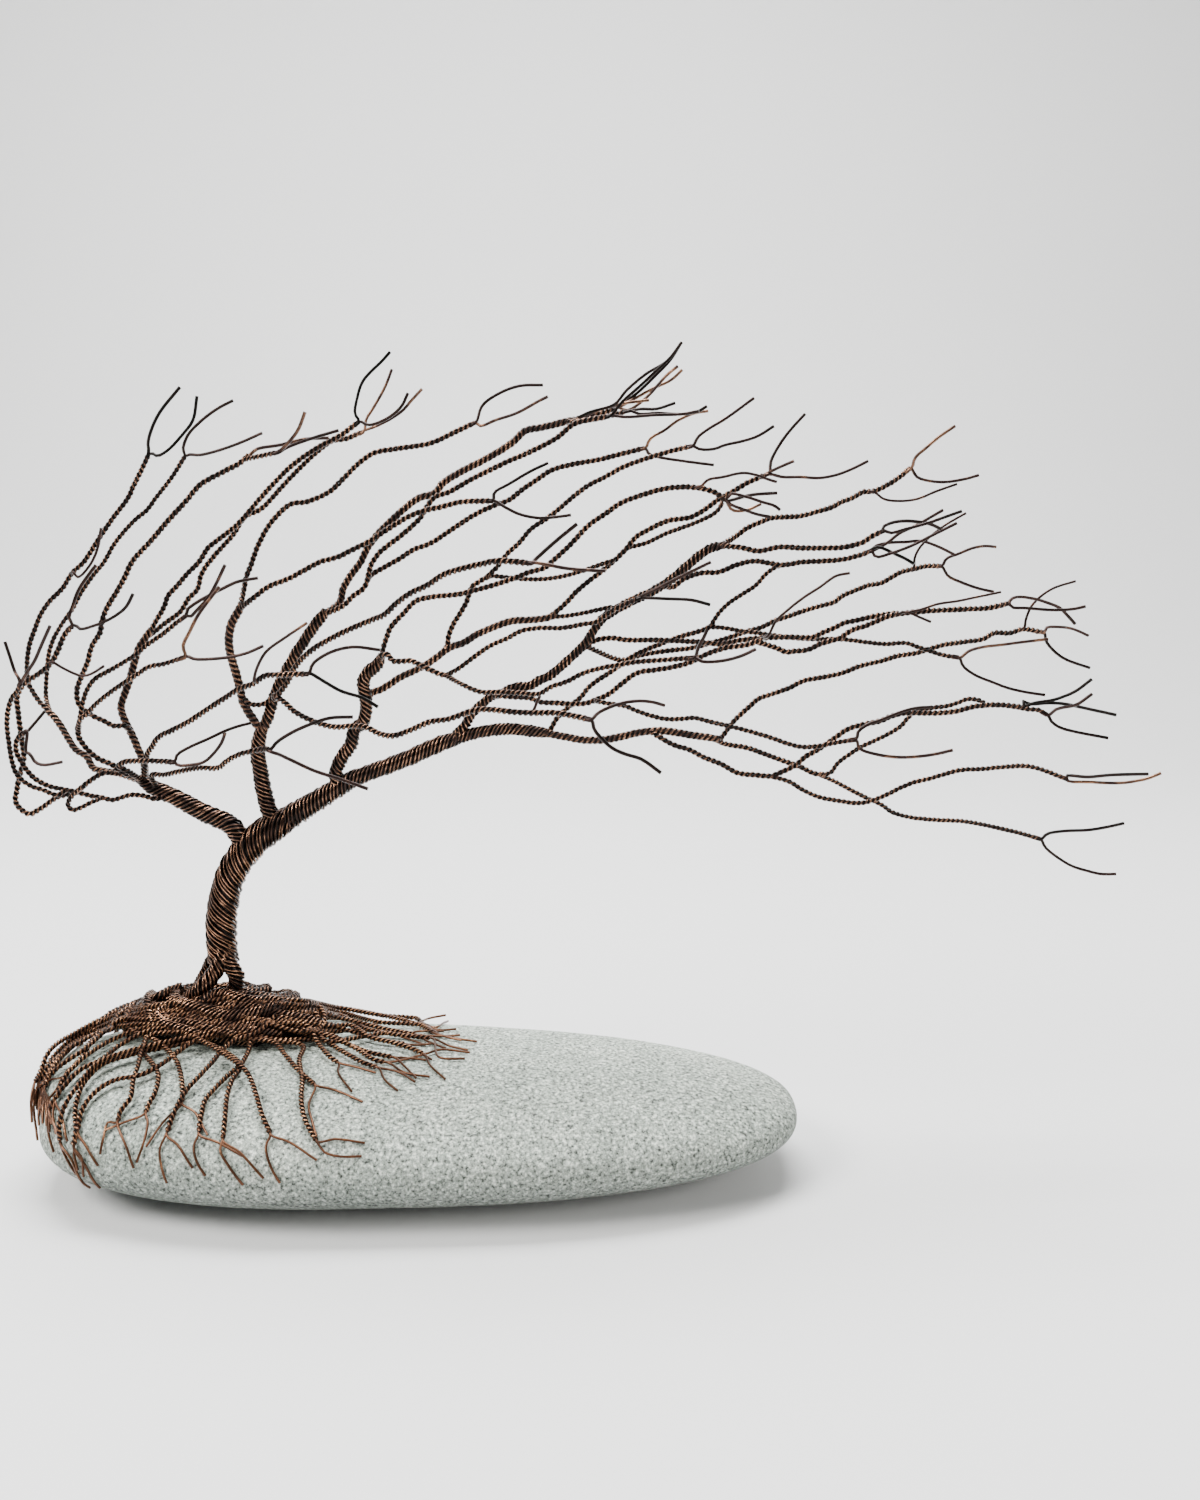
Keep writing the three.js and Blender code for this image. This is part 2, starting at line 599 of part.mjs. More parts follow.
const tree = new THREE.Group();
tree.add(
  meshOf("pebble", pebble, stone),
  meshOf("roots", join([ring, ...cords]), copper(0x8a5a3c)),
  meshOf("trunk", trunkBody, copper(0x7c4a30)),
  meshOf("left_limb", grow(leftLimb, grown), copper(0x74503c)),
  meshOf("left_outer_limb", grow(leftOuterLimb, grown), copper(0x7a5440)),
  meshOf("left_inner_limb", grow(leftInnerLimb, grown), copper(0x6e4f3f)),
  meshOf("middle_limb", grow(middleLimb, grown), copper(0x74503c)),
  meshOf("middle_fork_limb", grow(middleForkLimb, grown, ["left fork"]), copper(0x7a5440)),
  meshOf("right_limb", grow(rightLimb, grown), copper(0x6e4f3f)),
  meshOf("right_upper_limb", grow(rightUpperLimb, grown), copper(0x74503c)),
  meshOf("right_middle_limb", grow(rightMiddleLimb, grown, ["right on"]), copper(0x7a5440)),
  meshOf("right_low_limb", grow(rightLowLimb, grown), copper(0x74503c)),
  meshOf("right_back_limb", grow(rightBackLimb, grown), copper(0x6e4f3f)),
);

export default tree;
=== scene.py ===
import math
import random

import bmesh
import bpy
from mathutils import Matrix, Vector, noise


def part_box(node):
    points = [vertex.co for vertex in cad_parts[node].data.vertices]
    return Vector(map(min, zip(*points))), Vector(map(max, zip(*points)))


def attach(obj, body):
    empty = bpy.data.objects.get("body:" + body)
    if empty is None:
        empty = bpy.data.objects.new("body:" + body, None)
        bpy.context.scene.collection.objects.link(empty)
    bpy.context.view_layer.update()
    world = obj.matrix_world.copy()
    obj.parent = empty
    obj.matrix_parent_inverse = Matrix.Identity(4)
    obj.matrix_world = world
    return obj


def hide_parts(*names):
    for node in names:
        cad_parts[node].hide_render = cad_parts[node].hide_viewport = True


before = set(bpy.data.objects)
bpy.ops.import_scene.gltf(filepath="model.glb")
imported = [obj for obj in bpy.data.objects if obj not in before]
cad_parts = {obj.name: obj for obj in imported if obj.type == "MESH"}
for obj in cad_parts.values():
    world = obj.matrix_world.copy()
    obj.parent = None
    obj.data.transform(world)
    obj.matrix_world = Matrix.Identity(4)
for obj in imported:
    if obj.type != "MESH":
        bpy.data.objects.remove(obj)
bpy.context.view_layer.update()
MM = 0.001


# The pebble: a sea-worn stone, light greenish grey, matt and full of fine pale and dark grains,
# with shallow pits, and painted shade that darkens it towards its foot. It lies loose on its
# underside, worn flat in the middle, and its left end is blunter on top.
PEBBLE_LOW, PEBBLE_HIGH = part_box("pebble")
PEBBLE_LENGTH = PEBBLE_HIGH.x - PEBBLE_LOW.x
PEBBLE_WIDTH = 62 * MM
PEBBLE_THICKNESS = 24 * MM
FOOT_DEPTH = 1 * MM
PEBBLE_MIDDLE = PEBBLE_THICKNESS / 2 - FOOT_DEPTH
PLAN_TAPER = 0.1
TOP_TAPER = 0.3
UNDER_TAPER = 0.1
END_FULLNESS = 2.55
LEFT_TOP_FULLNESS = 5
SECTION_FULLNESS = 2.2
VERY_END = 0.9999

PEBBLE_ROUNDS = 300
PEBBLE_RINGS = 200
LUMP_DEPTH, BROAD_LUMPS, SMALL_LUMPS = 0.35 * MM, 45, 110
PIT_DEPTH, PITS, PIT_LEAST, PIT_SHIFT = 0.24 * MM, 900, 0.25, Vector((7, 3, 1))
GRAIN_DEPTH, GRAINS = 0.07 * MM, 1900
DENT_LEAN = 0.5

GRAIN_COLORS = [
    (0.35, (0.03, 0.034, 0.03, 1)),
    (0.44, (0.25, 0.28, 0.25, 1)),
    (0.56, (0.46, 0.5, 0.45, 1)),
    (0.66, (0.92, 0.95, 0.88, 1)),
]
CLOUD_TINTS = [(0.3, (0.8, 0.83, 0.8, 1)), (0.7, (1, 1, 0.97, 1))]
# Painted shade: the stone's colour is multiplied darker towards its foot, between two heights.
FOOT_PAINTED_SHADE = [(0.1, (0.42, 0.43, 0.44, 1)), (0.9, (1, 1, 1, 1))]
FOOT_SHADE_FROM = PEBBLE_MIDDLE * 0.5
FOOT_SHADE_TO = PEBBLE_MIDDLE * 1.5


def fullness(along, end=END_FULLNESS):
    """How full the stone is at a place along it from -1 to 1, which are its ends."""
    return max(0.0, 1 - abs(along) ** end) ** (1 / end)


def half_width(along, grown=0.0):
    return (PEBBLE_WIDTH / 2 + grown) * fullness(along) * (1 - PLAN_TAPER * along)


def half_height(along, above, grown=0.0):
    """The stone's height above or below its middle, at a place along it."""
    end = LEFT_TOP_FULLNESS if above and along < 0 else END_FULLNESS
    taper = TOP_TAPER if above else UNDER_TAPER
    return (PEBBLE_THICKNESS / 2 + grown) * fullness(along, end) * (1 - taper * along)


def outside(point, grown):
    """Below 1 inside the pebble's surface grown by a distance, above 1 outside it."""
    along = point.x / (PEBBLE_LENGTH / 2 + grown)
    rise = point.z - PEBBLE_MIDDLE
    if abs(along) >= VERY_END:
        return 2 + abs(point.y) / (PEBBLE_WIDTH / 2) + abs(rise) / (PEBBLE_THICKNESS / 2)
    across = abs(point.y) / half_width(along, grown)
    up = abs(rise) / half_height(along, rise > 0, grown)
    return across**SECTION_FULLNESS + up**SECTION_FULLNESS


def pebble_top(x, y):
    along = x / (PEBBLE_LENGTH / 2)
    across = (abs(y) / half_width(along)) ** SECTION_FULLNESS
    return PEBBLE_MIDDLE + half_height(along, True) * max(0.0, 1 - across) ** (1 / SECTION_FULLNESS)


def new_material(name):
    material = bpy.data.materials.new(name)
    material.use_nodes = True
    tree = material.node_tree
    return material, tree, tree.nodes["Principled BSDF"]


def add_node(tree, kind, **settings):
    """A node with its sockets' values and its own settings given by name."""
    node = tree.nodes.new(kind)
    for key, value in settings.items():
        if key in node.inputs:
            node.inputs[key].default_value = value
        else:
            setattr(node, key, value)
    return node


def on_object(tree, *textures):
    """Places textures by the piece's own coordinates."""
    coords = add_node(tree, "ShaderNodeTexCoord")
    for texture in textures:
        tree.links.new(coords.outputs["Object"], texture.inputs["Vector"])


def ramp(tree, source, stops):
    """A colour ramp from a factor, with stops of place and grey level or colour."""
    node = add_node(tree, "ShaderNodeValToRGB")
    while len(node.color_ramp.elements) < len(stops):
        node.color_ramp.elements.new(0.5)
    for element, (place, color) in zip(node.color_ramp.elements, stops):
        element.position = place
        element.color = color if isinstance(color, tuple) else (color, color, color, 1)
    tree.links.new(source, node.inputs["Fac"])
    return node.outputs["Color"]


def share_between(tree, source, low, high):
    """How far a value has come from a low to a high one, from 0 to 1."""
    node = add_node(tree, "ShaderNodeMapRange", **{"From Min": low, "From Max": high})
    tree.links.new(source, node.inputs["Value"])
    return node.outputs["Result"]


def tinted(tree, color, tint):
    """One colour multiplied by another."""
    node = add_node(tree, "ShaderNodeMix", data_type="RGBA", blend_type="MULTIPLY", Factor=1.0)
    tree.links.new(color, node.inputs["A"])
    tree.links.new(tint, node.inputs["B"])
    return node.outputs["Result"]


def roughen(tree, shader, height, strength, distance):
    """Lets a texture's height show as fine relief."""
    node = add_node(tree, "ShaderNodeBump", Strength=strength, Distance=distance)
    tree.links.new(height, node.inputs["Height"])
    tree.links.new(node.outputs["Normal"], shader.inputs["Normal"])


def mesh_object(name, bm, material):
    mesh = bpy.data.meshes.new(name)
    bm.to_mesh(mesh)
    bm.free()
    mesh.materials.append(material)
    mesh.shade_smooth()
    piece = bpy.data.objects.new(name, mesh)
    bpy.context.collection.objects.link(piece)
    return piece


stone, tree, shader = new_material("sea pebble stone")
grain = add_node(tree, "ShaderNodeTexNoise", Scale=1500.0, Detail=3.0, Roughness=0.7)
clouds = add_node(tree, "ShaderNodeTexNoise", Scale=60.0, Detail=4.0, Roughness=0.6)
height = add_node(tree, "ShaderNodeSeparateXYZ")
on_object(tree, grain, clouds, height)
# Painted shade: darker towards the stone's foot.
foot_shade_share = share_between(tree, height.outputs["Z"], FOOT_SHADE_FROM, FOOT_SHADE_TO)
color = ramp(tree, grain.outputs["Fac"], GRAIN_COLORS)
color = tinted(tree, color, ramp(tree, clouds.outputs["Fac"], CLOUD_TINTS))
color = tinted(tree, color, ramp(tree, foot_shade_share, FOOT_PAINTED_SHADE))
tree.links.new(color, shader.inputs["Base Color"])
shader.inputs["Roughness"].default_value = 0.8
roughen(tree, shader, grain.outputs["Fac"], strength=0.8, distance=0.4 * MM)

pebble_bm = bmesh.new()
bmesh.ops.create_uvsphere(
    pebble_bm, u_segments=PEBBLE_ROUNDS, v_segments=PEBBLE_RINGS, radius=1
)
power = 2 / SECTION_FULLNESS
for vert in pebble_bm.verts:
    along = max(-1.0, min(1.0, vert.co.z))
    across, rise = vert.co.y, vert.co.x
    length = math.hypot(across, rise) or 1.0
    across, rise = across / length, rise / length
    place = Vector((
        PEBBLE_LENGTH / 2 * along,
        half_width(along) * math.copysign(abs(across) ** power, across),
        PEBBLE_MIDDLE + half_height(along, rise > 0) * math.copysign(abs(rise) ** power, rise),
    ))
    inward = Vector((along * DENT_LEAN, across, rise)).normalized() * -1
    lump = noise.noise(place * BROAD_LUMPS) * 0.6 + noise.noise(place * SMALL_LUMPS) * 0.4
    pit = max(0.0, noise.noise(place * PITS + PIT_SHIFT) - PIT_LEAST)
    speck = noise.noise(place * GRAINS) * 0.5 + 0.5
    place += inward * (LUMP_DEPTH * (0.5 - 0.5 * lump) + PIT_DEPTH * pit + GRAIN_DEPTH * speck)
    place.z = max(0.0, place.z)
    vert.co = place
bmesh.ops.recalc_face_normals(pebble_bm, faces=pebble_bm.faces)
pebble = mesh_object("sea_pebble", pebble_bm, stone)
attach(pebble, "root")
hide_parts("pebble")


# The front view that the tree is set out in, and the camera, which stands at its eye. Routes are
# drawn in units across and down, where a unit is 0.2 mm at the trunk; depths are in millimetres
# behind the trunk's plane.
TREE_HEIGHT = 127 * MM
DRAWN_HEIGHT = 635
UNIT = TREE_HEIGHT / DRAWN_HEIGHT
TRUNK_FROM_END = 32.8 * MM
TRUNK_BACK = 8.7 * MM
MOUND_HEIGHT = 9.1 * MM
TRUNK_X = PEBBLE_LOW.x + TRUNK_FROM_END
TRUNK_FOOT = Vector((TRUNK_X, TRUNK_BACK, pebble_top(TRUNK_X, TRUNK_BACK) + MOUND_HEIGHT))
DRAWN_CENTRE = (600, 750)
DRAWN_FRAME = 1500
EYE_DISTANCE = 1300
EYE_FROM_FOOT = Vector((381, -1258, 464)) * UNIT
EYE_DROP = math.radians(10)
EYE = TRUNK_FOOT + EYE_FROM_FOOT
SENSOR_WIDTH = 36


def sight(drawn):
    """The direction from the eye to a drawn point."""
    right = (drawn[0] - DRAWN_CENTRE[0]) / EYE_DISTANCE
    up = (DRAWN_CENTRE[1] - drawn[1]) / EYE_DISTANCE
    return Vector((
        right,
        math.cos(EYE_DROP) + up * math.sin(EYE_DROP),
        up * math.cos(EYE_DROP) - math.sin(EYE_DROP),
    ))


def in_tree(drawn, depth):
    """Where the line of sight has come to a depth behind the trunk's plane."""
    line = sight(drawn)
    return EYE + line * ((TRUNK_FOOT.y + depth * MM - EYE.y) / line.y)


camera = bpy.data.objects.new("camera", bpy.data.cameras.new("camera"))
bpy.context.collection.objects.link(camera)
camera.location = EYE
camera.rotation_euler = (math.radians(90) - EYE_DROP, 0, 0)
camera.data.sensor_width = SENSOR_WIDTH
camera.data.lens = EYE_DISTANCE / DRAWN_FRAME * SENSOR_WIDTH
camera.data.clip_start = 10 * MM
bpy.context.scene.camera = camera


# A plain pale floor that bends up into a backdrop, and soft studio light: three wide panels, from
# the left, from the right and from above, and a weak even light from all round.
FLOOR_REACH = 1.6
BACKDROP_AT = 0.75
BACKDROP_BEND = 0.35
BEND_STEPS = 12
FLOOR_COLOR = (0.78, 0.78, 0.775, 1)
PANELS_AIM = Vector((0.02, 0, 0.07))
PANELS = [  # name, place, size, watts and colour
    ("left panel", (-0.6, -0.3, 0.7), (0.4, 0.4), 13.0, (1, 0.99, 0.97)),
    ("right panel", (0.75, -0.5, 0.45), (0.3, 0.4), 5.0, (1, 0.98, 0.95)),
    ("top panel", (0.0, 0.2, 0.8), (0.6, 0.3), 18.0, (0.98, 0.99, 1)),
]
EVEN_LIGHT = (0.9, 0.92, 0.95, 1)
EVEN_STRENGTH = 0.22

floor_paint, tree, shader = new_material("pale floor")
shader.inputs["Base Color"].default_value = FLOOR_COLOR
shader.inputs["Roughness"].default_value = 0.6

profile = [(-FLOOR_REACH, 0.0), (BACKDROP_AT - BACKDROP_BEND, 0.0)]
for step in range(1, BEND_STEPS + 1):
    turn = math.pi / 2 * step / BEND_STEPS
    profile.append((
        BACKDROP_AT - BACKDROP_BEND + BACKDROP_BEND * math.sin(turn),
        BACKDROP_BEND * (1 - math.cos(turn)),
    ))
profile.append((BACKDROP_AT, FLOOR_REACH))
floor_bm = bmesh.new()
line_verts = [floor_bm.verts.new((-FLOOR_REACH, y, z)) for y, z in profile]
line_edges = [floor_bm.edges.new(pair) for pair in zip(line_verts, line_verts[1:])]
swept = bmesh.ops.extrude_edge_only(floor_bm, edges=line_edges)
moved = [item for item in swept["geom"] if isinstance(item, bmesh.types.BMVert)]
bmesh.ops.translate(floor_bm, verts=moved, vec=(FLOOR_REACH * 2, 0, 0))
bmesh.ops.recalc_face_normals(floor_bm, faces=floor_bm.faces)
floor = mesh_object("floor", floor_bm, floor_paint)

for name, place, size, watts, color in PANELS:
    lamp = bpy.data.objects.new(name, bpy.data.lights.new(name, "AREA"))
    lamp.data.shape = "RECTANGLE"
    lamp.data.size, lamp.data.size_y = size
    lamp.data.energy = watts
    lamp.data.color = color
    lamp.location = place
    lamp.rotation_euler = (PANELS_AIM - Vector(place)).to_track_quat("-Z", "Y").to_euler()
    bpy.context.collection.objects.link(lamp)
world = bpy.data.worlds.new("even light")
world.use_nodes = True
world.node_tree.nodes["Background"].inputs["Color"].default_value = EVEN_LIGHT
world.node_tree.nodes["Background"].inputs["Strength"].default_value = EVEN_STRENGTH
bpy.context.scene.world = world


# The trunk: about 110 soft copper wires of half a millimetre, twisted into one thick bundle
# that leans into the shoulder. Its outer wires show as steep strands round a hidden core, and
# below, it parts into legs that stand in the mound.
WIRE = 0.5 * MM
BEVEL_STEPS = 1

# The share of a bundle's section that its wires fill, and how far a branch or a loose wire
# starts back inside what it leaves.
PACKING = 0.75
LAP = 1.2 * MM

# A thick bundle: the slope of its strands, the gap between them and their girth in wires, how
# deep its core lies under them, over what length it swells, and over what it closes at most.
THICK_LAY = math.radians(52)
THICK_GAP = 1.42
THICK_GIRTH = 1.1
CORE_UNDER = 0.3
SWELL_OVER = 18 * MM
CLOSE_OVER = 6 * MM
CLOSE_RADII = 3

# Thin cords, by their number of wires: the strands of each, a strand's girth in wires, and the
# cord's pitch. Where a cord has more wires than strands, some lie together as one strand. A
# bundle that is neither thick nor in this table has three strands too.
CORDS = {
    1: (1, 1.15, 0.0),
    2: (2, 1.12, 1.9 * MM),
    3: (2, 1.2, 1.95 * MM),
    4: (2, 1.28, 2.05 * MM),
}
FINE = 12
FINE_STRANDS = 3
FINE_GIRTH = 0.93
FINE_PITCH = 3.1 * MM

# No strand lies quite evenly: how far and how fast it wanders round the bundle, and off it.
WANDER, WANDER_RATE, WANDER_SHIFT = 0.08, 0.21, 3
LOOSE, LOOSE_RATE, LOOSE_SHIFT = 0.06, 0.23, 2.4
STRAND_RATES = (0.6, 1.4)

# The patina and painted light: where a strand turns from painted shade on its inner side, between
# the strands, to a painted highlight on its outer side, which partly stands for rubbed wear, how
# bright a lone wire is, how dark a core is painted as shade, how patchy it is, and the places of
# the dark, middle and bright copper.
PAINTED_SHEEN_FROM, PAINTED_SHEEN_TO = 0.4, 1.02
LONE_RUB, CORE_PAINTED_SHADE = 0.8, 0.0
PATCHY, PATCH_LEAST = 0.45, 0.1
DARK_AT, MIDDLE_AT, BRIGHT_AT = 0.1, 0.23, 0.37
STAINS = [(0.3, 0.72), (0.6, 1.0)]
ROUGHER = 0.15
METAL = 0.85

TRUNK_WIRES = 110
SHOULDER_WIRES = 34
THICK_STEP = 0.75 * MM
TRUNK_ROUTE = [
    (224, 962), (222, 945), (222, 915), (229, 880), (245, 852), (266, 832), (294, 815),
]
LEGS = [  # wires, and a route of places across and down with their depths
    (34, [(226, 945, 0), (228, 962, -2), (236, 974, -2), (237, 985, -1), (228, 996, 2),
          (214, 1004, 4)]),
    (34, [(224, 945, -1), (222, 958, -2), (214, 974, -3), (204, 985, -4), (193, 996, -4),
          (182, 1008, -3)]),
    (18, [(219, 945, 2), (210, 962, 3), (203, 976, 3), (196, 988, 3), (186, 998, 4)]),
]


def bundle_radius(wires):
    if wires <= 2:
        return wires * WIRE / 2
    return WIRE * math.sqrt(wires / PACKING) / 2


def strands_of(wires):
    """How many strands a bundle shows, their girth in wires, their ring's radius and pitch."""
    if wires in CORDS:
        count, girth, pitch = CORDS[wires]
        return count, girth, WIRE * girth * (count - 1) / 2, pitch
    radius = bundle_radius(wires)
    if wires <= FINE:
        girth = FINE_GIRTH * radius / WIRE
        return FINE_STRANDS, girth, radius - WIRE * girth / 2, FINE_PITCH
    ring = radius - WIRE / 2
    around = 2 * math.pi * ring
    count = round(around * math.cos(THICK_LAY) / (WIRE * THICK_GAP))
    return count, THICK_GIRTH, ring, around / math.tan(THICK_LAY)


SPLINE_FINENESS, SPLINE_LEAST, SPLINE_LAST = 0.5, 4, 0.3


def smooth_route(points, step):
    """Evenly spaced points on a centripetal spline through the given ones, which is followed in
    pieces finer than the step."""
    fine = []
    ends = [points[0] * 2 - points[1], *points, points[-1] * 2 - points[-2]]
    for before, start, end, after in zip(ends, ends[1:], ends[2:], ends[3:]):
        knots = [0.0]
        for a, b in ((before, start), (start, end), (end, after)):
            knots.append(knots[-1] + max(1e-6, (b - a).length) ** 0.5)
        pieces = max(SPLINE_LEAST, int((end - start).length / (step * SPLINE_FINENESS)))
        for i in range(pieces):
            t = knots[1] + (knots[2] - knots[1]) * i / pieces
            one = before.lerp(start, (t - knots[0]) / (knots[1] - knots[0]))
            two = start.lerp(end, (t - knots[1]) / (knots[2] - knots[1]))
            three = end.lerp(after, (t - knots[2]) / (knots[3] - knots[2]))
            four = one.lerp(two, (t - knots[0]) / (knots[2] - knots[0]))
            five = two.lerp(three, (t - knots[1]) / (knots[3] - knots[1]))
            fine.append(four.lerp(five, (t - knots[1]) / (knots[2] - knots[1])))
    fine.append(points[-1].copy())
    even = [fine[0]]
    left = step
    for a, b in zip(fine, fine[1:]):
        span = (b - a).length
        while span >= left > 0:
            a = a.lerp(b, left / span)
            even.append(a)
            span = (b - a).length
            left = step
        left -= span
    if (even[-1] - fine[-1]).length > step * SPLINE_LAST:
        even.append(fine[-1])
    return even


def carried_frames(path):
    """Two directions square to the path at each of its points, carried along without twist."""
    frames = []
    ahead = (path[1] - path[0]).normalized()
    side = ahead.orthogonal().normalized()
    for i in range(len(path)):
        new_ahead = (path[min(i + 1, len(path) - 1)] - path[max(i - 1, 0)]).normalized()
        side = ahead.rotation_difference(new_ahead) @ side
        ahead = new_ahead
        frames.append((side, ahead.cross(side)))
    return frames


class WireWork:
    """Collects the wires of one piece as splines of one curve, and turns them into a mesh."""

    def __init__(self, name):
        self.name = name
        self.curve = bpy.data.curves.new(name, "CURVE")
        self.curve.dimensions = "3D"
        self.curve.bevel_depth = WIRE / 2
        self.curve.bevel_resolution = BEVEL_STEPS
        self.curve.use_fill_caps = True
        self.wires = []

    def wire(self, points, girth=1.0, axis=None, painted_light_and_wear=LONE_RUB, shares=None):
        """Adds a wire. One that winds round an axis gets painted shade on its inner side and a
        painted highlight, partly rubbed wear, on its outer side, and any other one even brightness
        all round."""
        spline = self.curve.splines.new("POLY")
        spline.points.add(len(points) - 1)
        places = [value for p in points for value in (p.x, p.y, p.z, 1.0)]
        spline.points.foreach_set("co", places)
        radii = [girth * share for share in shares or [1.0] * len(points)]
        spline.points.foreach_set("radius", radii)
        spline.use_smooth = True
        middles = axis or [None] * len(points)
        self.wires.append([(p, middle, girth, painted_light_and_wear) for p, middle in zip(points, middles)])

    def bundle(self, path, wires, end_radius=None, swell=1.0, seed=0):
        """Lays a bundle's outer wires round a path, with a hidden core where it is thick."""
        draw = random.Random(seed)
        frames = carried_frames(path)
        radius = bundle_radius(wires)
        count, girth, ring, pitch = strands_of(wires)
        step = (path[1] - path[0]).length
        turn = 2 * math.pi * step / pitch if pitch else 0.0
        closing = radius if end_radius is None else end_radius
        close_over = max(1, round(min(CLOSE_OVER, radius * CLOSE_RADII) / step))
        shares = []
        for i in range(len(path)):
            near_end = max(0.0, 1 - (len(path) - 1 - i) / close_over)
            near_start = max(0.0, 1 - i * step / SWELL_OVER)
            share = (1 + (swell - 1) * near_start) * (1 + (closing / radius - 1) * near_end**2)
            shares.append(1.0 if wires in CORDS else share)
        for k in range(count):
            phase = 2 * math.pi * k / count
            rate = draw.uniform(*STRAND_RATES)
            points = []
            for i, (point, (side, up)) in enumerate(zip(path, frames)):
                wander = WANDER * math.sin(i * WANDER_RATE * rate + phase * WANDER_SHIFT)
                angle = phase - turn * i + wander
                loose = 1 + LOOSE * math.sin(i * LOOSE_RATE * rate + k * LOOSE_SHIFT)
                away = side * math.cos(angle) + up * math.sin(angle)
                points.append(point + away * (ring * loose * shares[i]))
            self.wire(points, girth, axis=path if count > 1 else None)
        if wires > FINE:
            # The core is painted dark, as the shade seen between the strands.
            core = (ring - WIRE * CORE_UNDER) / (WIRE / 2)
            self.wire(path, core, painted_light_and_wear=CORE_PAINTED_SHADE, shares=shares)

    def painted_light_values(self, mesh):
        """How bright each point of the mesh is painted: painted shade on a strand's inner side
        towards its bundle's axis and a painted highlight, partly rubbed wear, on its outer side, or
        one even value for a lone wire. The mesh holds every wire's two caps first, from the last
        wire back, and then the rings of each."""
        caps = [ring for wire in reversed(self.wires) for ring in (wire[-1], wire[0])]
        rings = caps + [ring for wire in self.wires for ring in wire]
        sides = len(mesh.vertices) // len(rings)
        values = []
        for number, (point, middle, girth, painted_light_and_wear) in enumerate(rings):
            if middle is not None:
                away = (point - middle).normalized() / (WIRE * girth / 2)
                for vert in mesh.vertices[number * sides:number * sides + sides]:
                    values.append(max(0.0, (vert.co - point).dot(away)))
            else:
                values += [painted_light_and_wear] * sides
        return values

    def finish(self, slot, material, *nodes):
        holder = bpy.data.objects.new(self.name + "_curve", self.curve)
        bpy.context.collection.objects.link(holder)
        bpy.context.view_layer.update()
        evaluated = holder.evaluated_get(bpy.context.evaluated_depsgraph_get())
        mesh = bpy.data.meshes.new_from_object(evaluated)
        mesh.name = self.name
        bpy.data.objects.remove(holder)
        # Stores each point's painted shade or painted highlight.
        mesh.attributes.new("painted_light_and_wear", "FLOAT", "POINT")
        mesh.attributes["painted_light_and_wear"].data.foreach_set("value", self.painted_light_values(mesh))
        mesh.materials.clear()
        mesh.materials.append(material)
        mesh.shade_smooth()
        piece = bpy.data.objects.new(self.name, mesh)
        bpy.context.collection.objects.link(piece)
        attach(piece, "root")
        if nodes:
            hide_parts(*nodes)


def copper(name, dark, middle, bright, roughness):
    """Copper wire under a brown patina that is rubbed thinner in patches along the wires, with
    painted shade between the strands and painted highlights on their outer sides.
    """
    material, tree, shader = new_material(name)
    patches = add_node(tree, "ShaderNodeTexNoise", Scale=260.0, Detail=4.0, Roughness=0.65)
    fine = add_node(tree, "ShaderNodeTexNoise", Scale=2600.0, Detail=2.0, Roughness=0.6)
    on_object(tree, patches, fine)
    # Painted light: painted shade on the strands' inner sides, painted highlights on their outer
    # sides.
    painted_light_and_wear = add_node(tree, "ShaderNodeAttribute", attribute_name="painted_light_and_wear")
    patchy = add_node(tree, "ShaderNodeMath", operation="MULTIPLY_ADD")
    patchy.inputs[1].default_value = PATCHY
    patchy.inputs[2].default_value = PATCH_LEAST
    tree.links.new(patches.outputs["Fac"], patchy.inputs[0])
    sheen_and_wear = add_node(tree, "ShaderNodeMath", operation="MULTIPLY")
    tree.links.new(share_between(tree, painted_light_and_wear.outputs["Fac"], PAINTED_SHEEN_FROM, PAINTED_SHEEN_TO), sheen_and_wear.inputs[0])
    tree.links.new(patchy.outputs[0], sheen_and_wear.inputs[1])
    stops = [(DARK_AT, dark), (MIDDLE_AT, middle), (BRIGHT_AT, bright)]
    color = ramp(tree, sheen_and_wear.outputs[0], stops)
    stain = ramp(tree, fine.outputs["Fac"], STAINS)
    tree.links.new(tinted(tree, color, stain), shader.inputs["Base Color"])
    rough = ramp(tree, patches.outputs["Fac"], [(0.3, roughness + ROUGHER), (0.7, roughness)])
    tree.links.new(rough, shader.inputs["Roughness"])
    shader.inputs["Metallic"].default_value = METAL
    roughen(tree, shader, fine.outputs["Fac"], strength=0.25, distance=0.04 * MM)
    return material


trunk_copper = copper(
    "trunk copper",
    dark=(0.005, 0.003, 0.002, 1),
    middle=(0.042, 0.019, 0.012, 1),
    bright=(0.62, 0.32, 0.18, 1),
    roughness=0.2,
)
trunk_path = smooth_route([in_tree(drawn, 0) for drawn in TRUNK_ROUTE], THICK_STEP)
trunk = WireWork("trunk_wires")
trunk.bundle(trunk_path, TRUNK_WIRES, end_radius=bundle_radius(SHOULDER_WIRES), seed=1)
for number, (wires, route) in enumerate(LEGS):
    leg = smooth_route([in_tree((u, v), depth) for u, v, depth in route], THICK_STEP)
    trunk.bundle(leg, wires, seed=20 + number)
trunk.finish("copper_trunk", trunk_copper, "trunk")


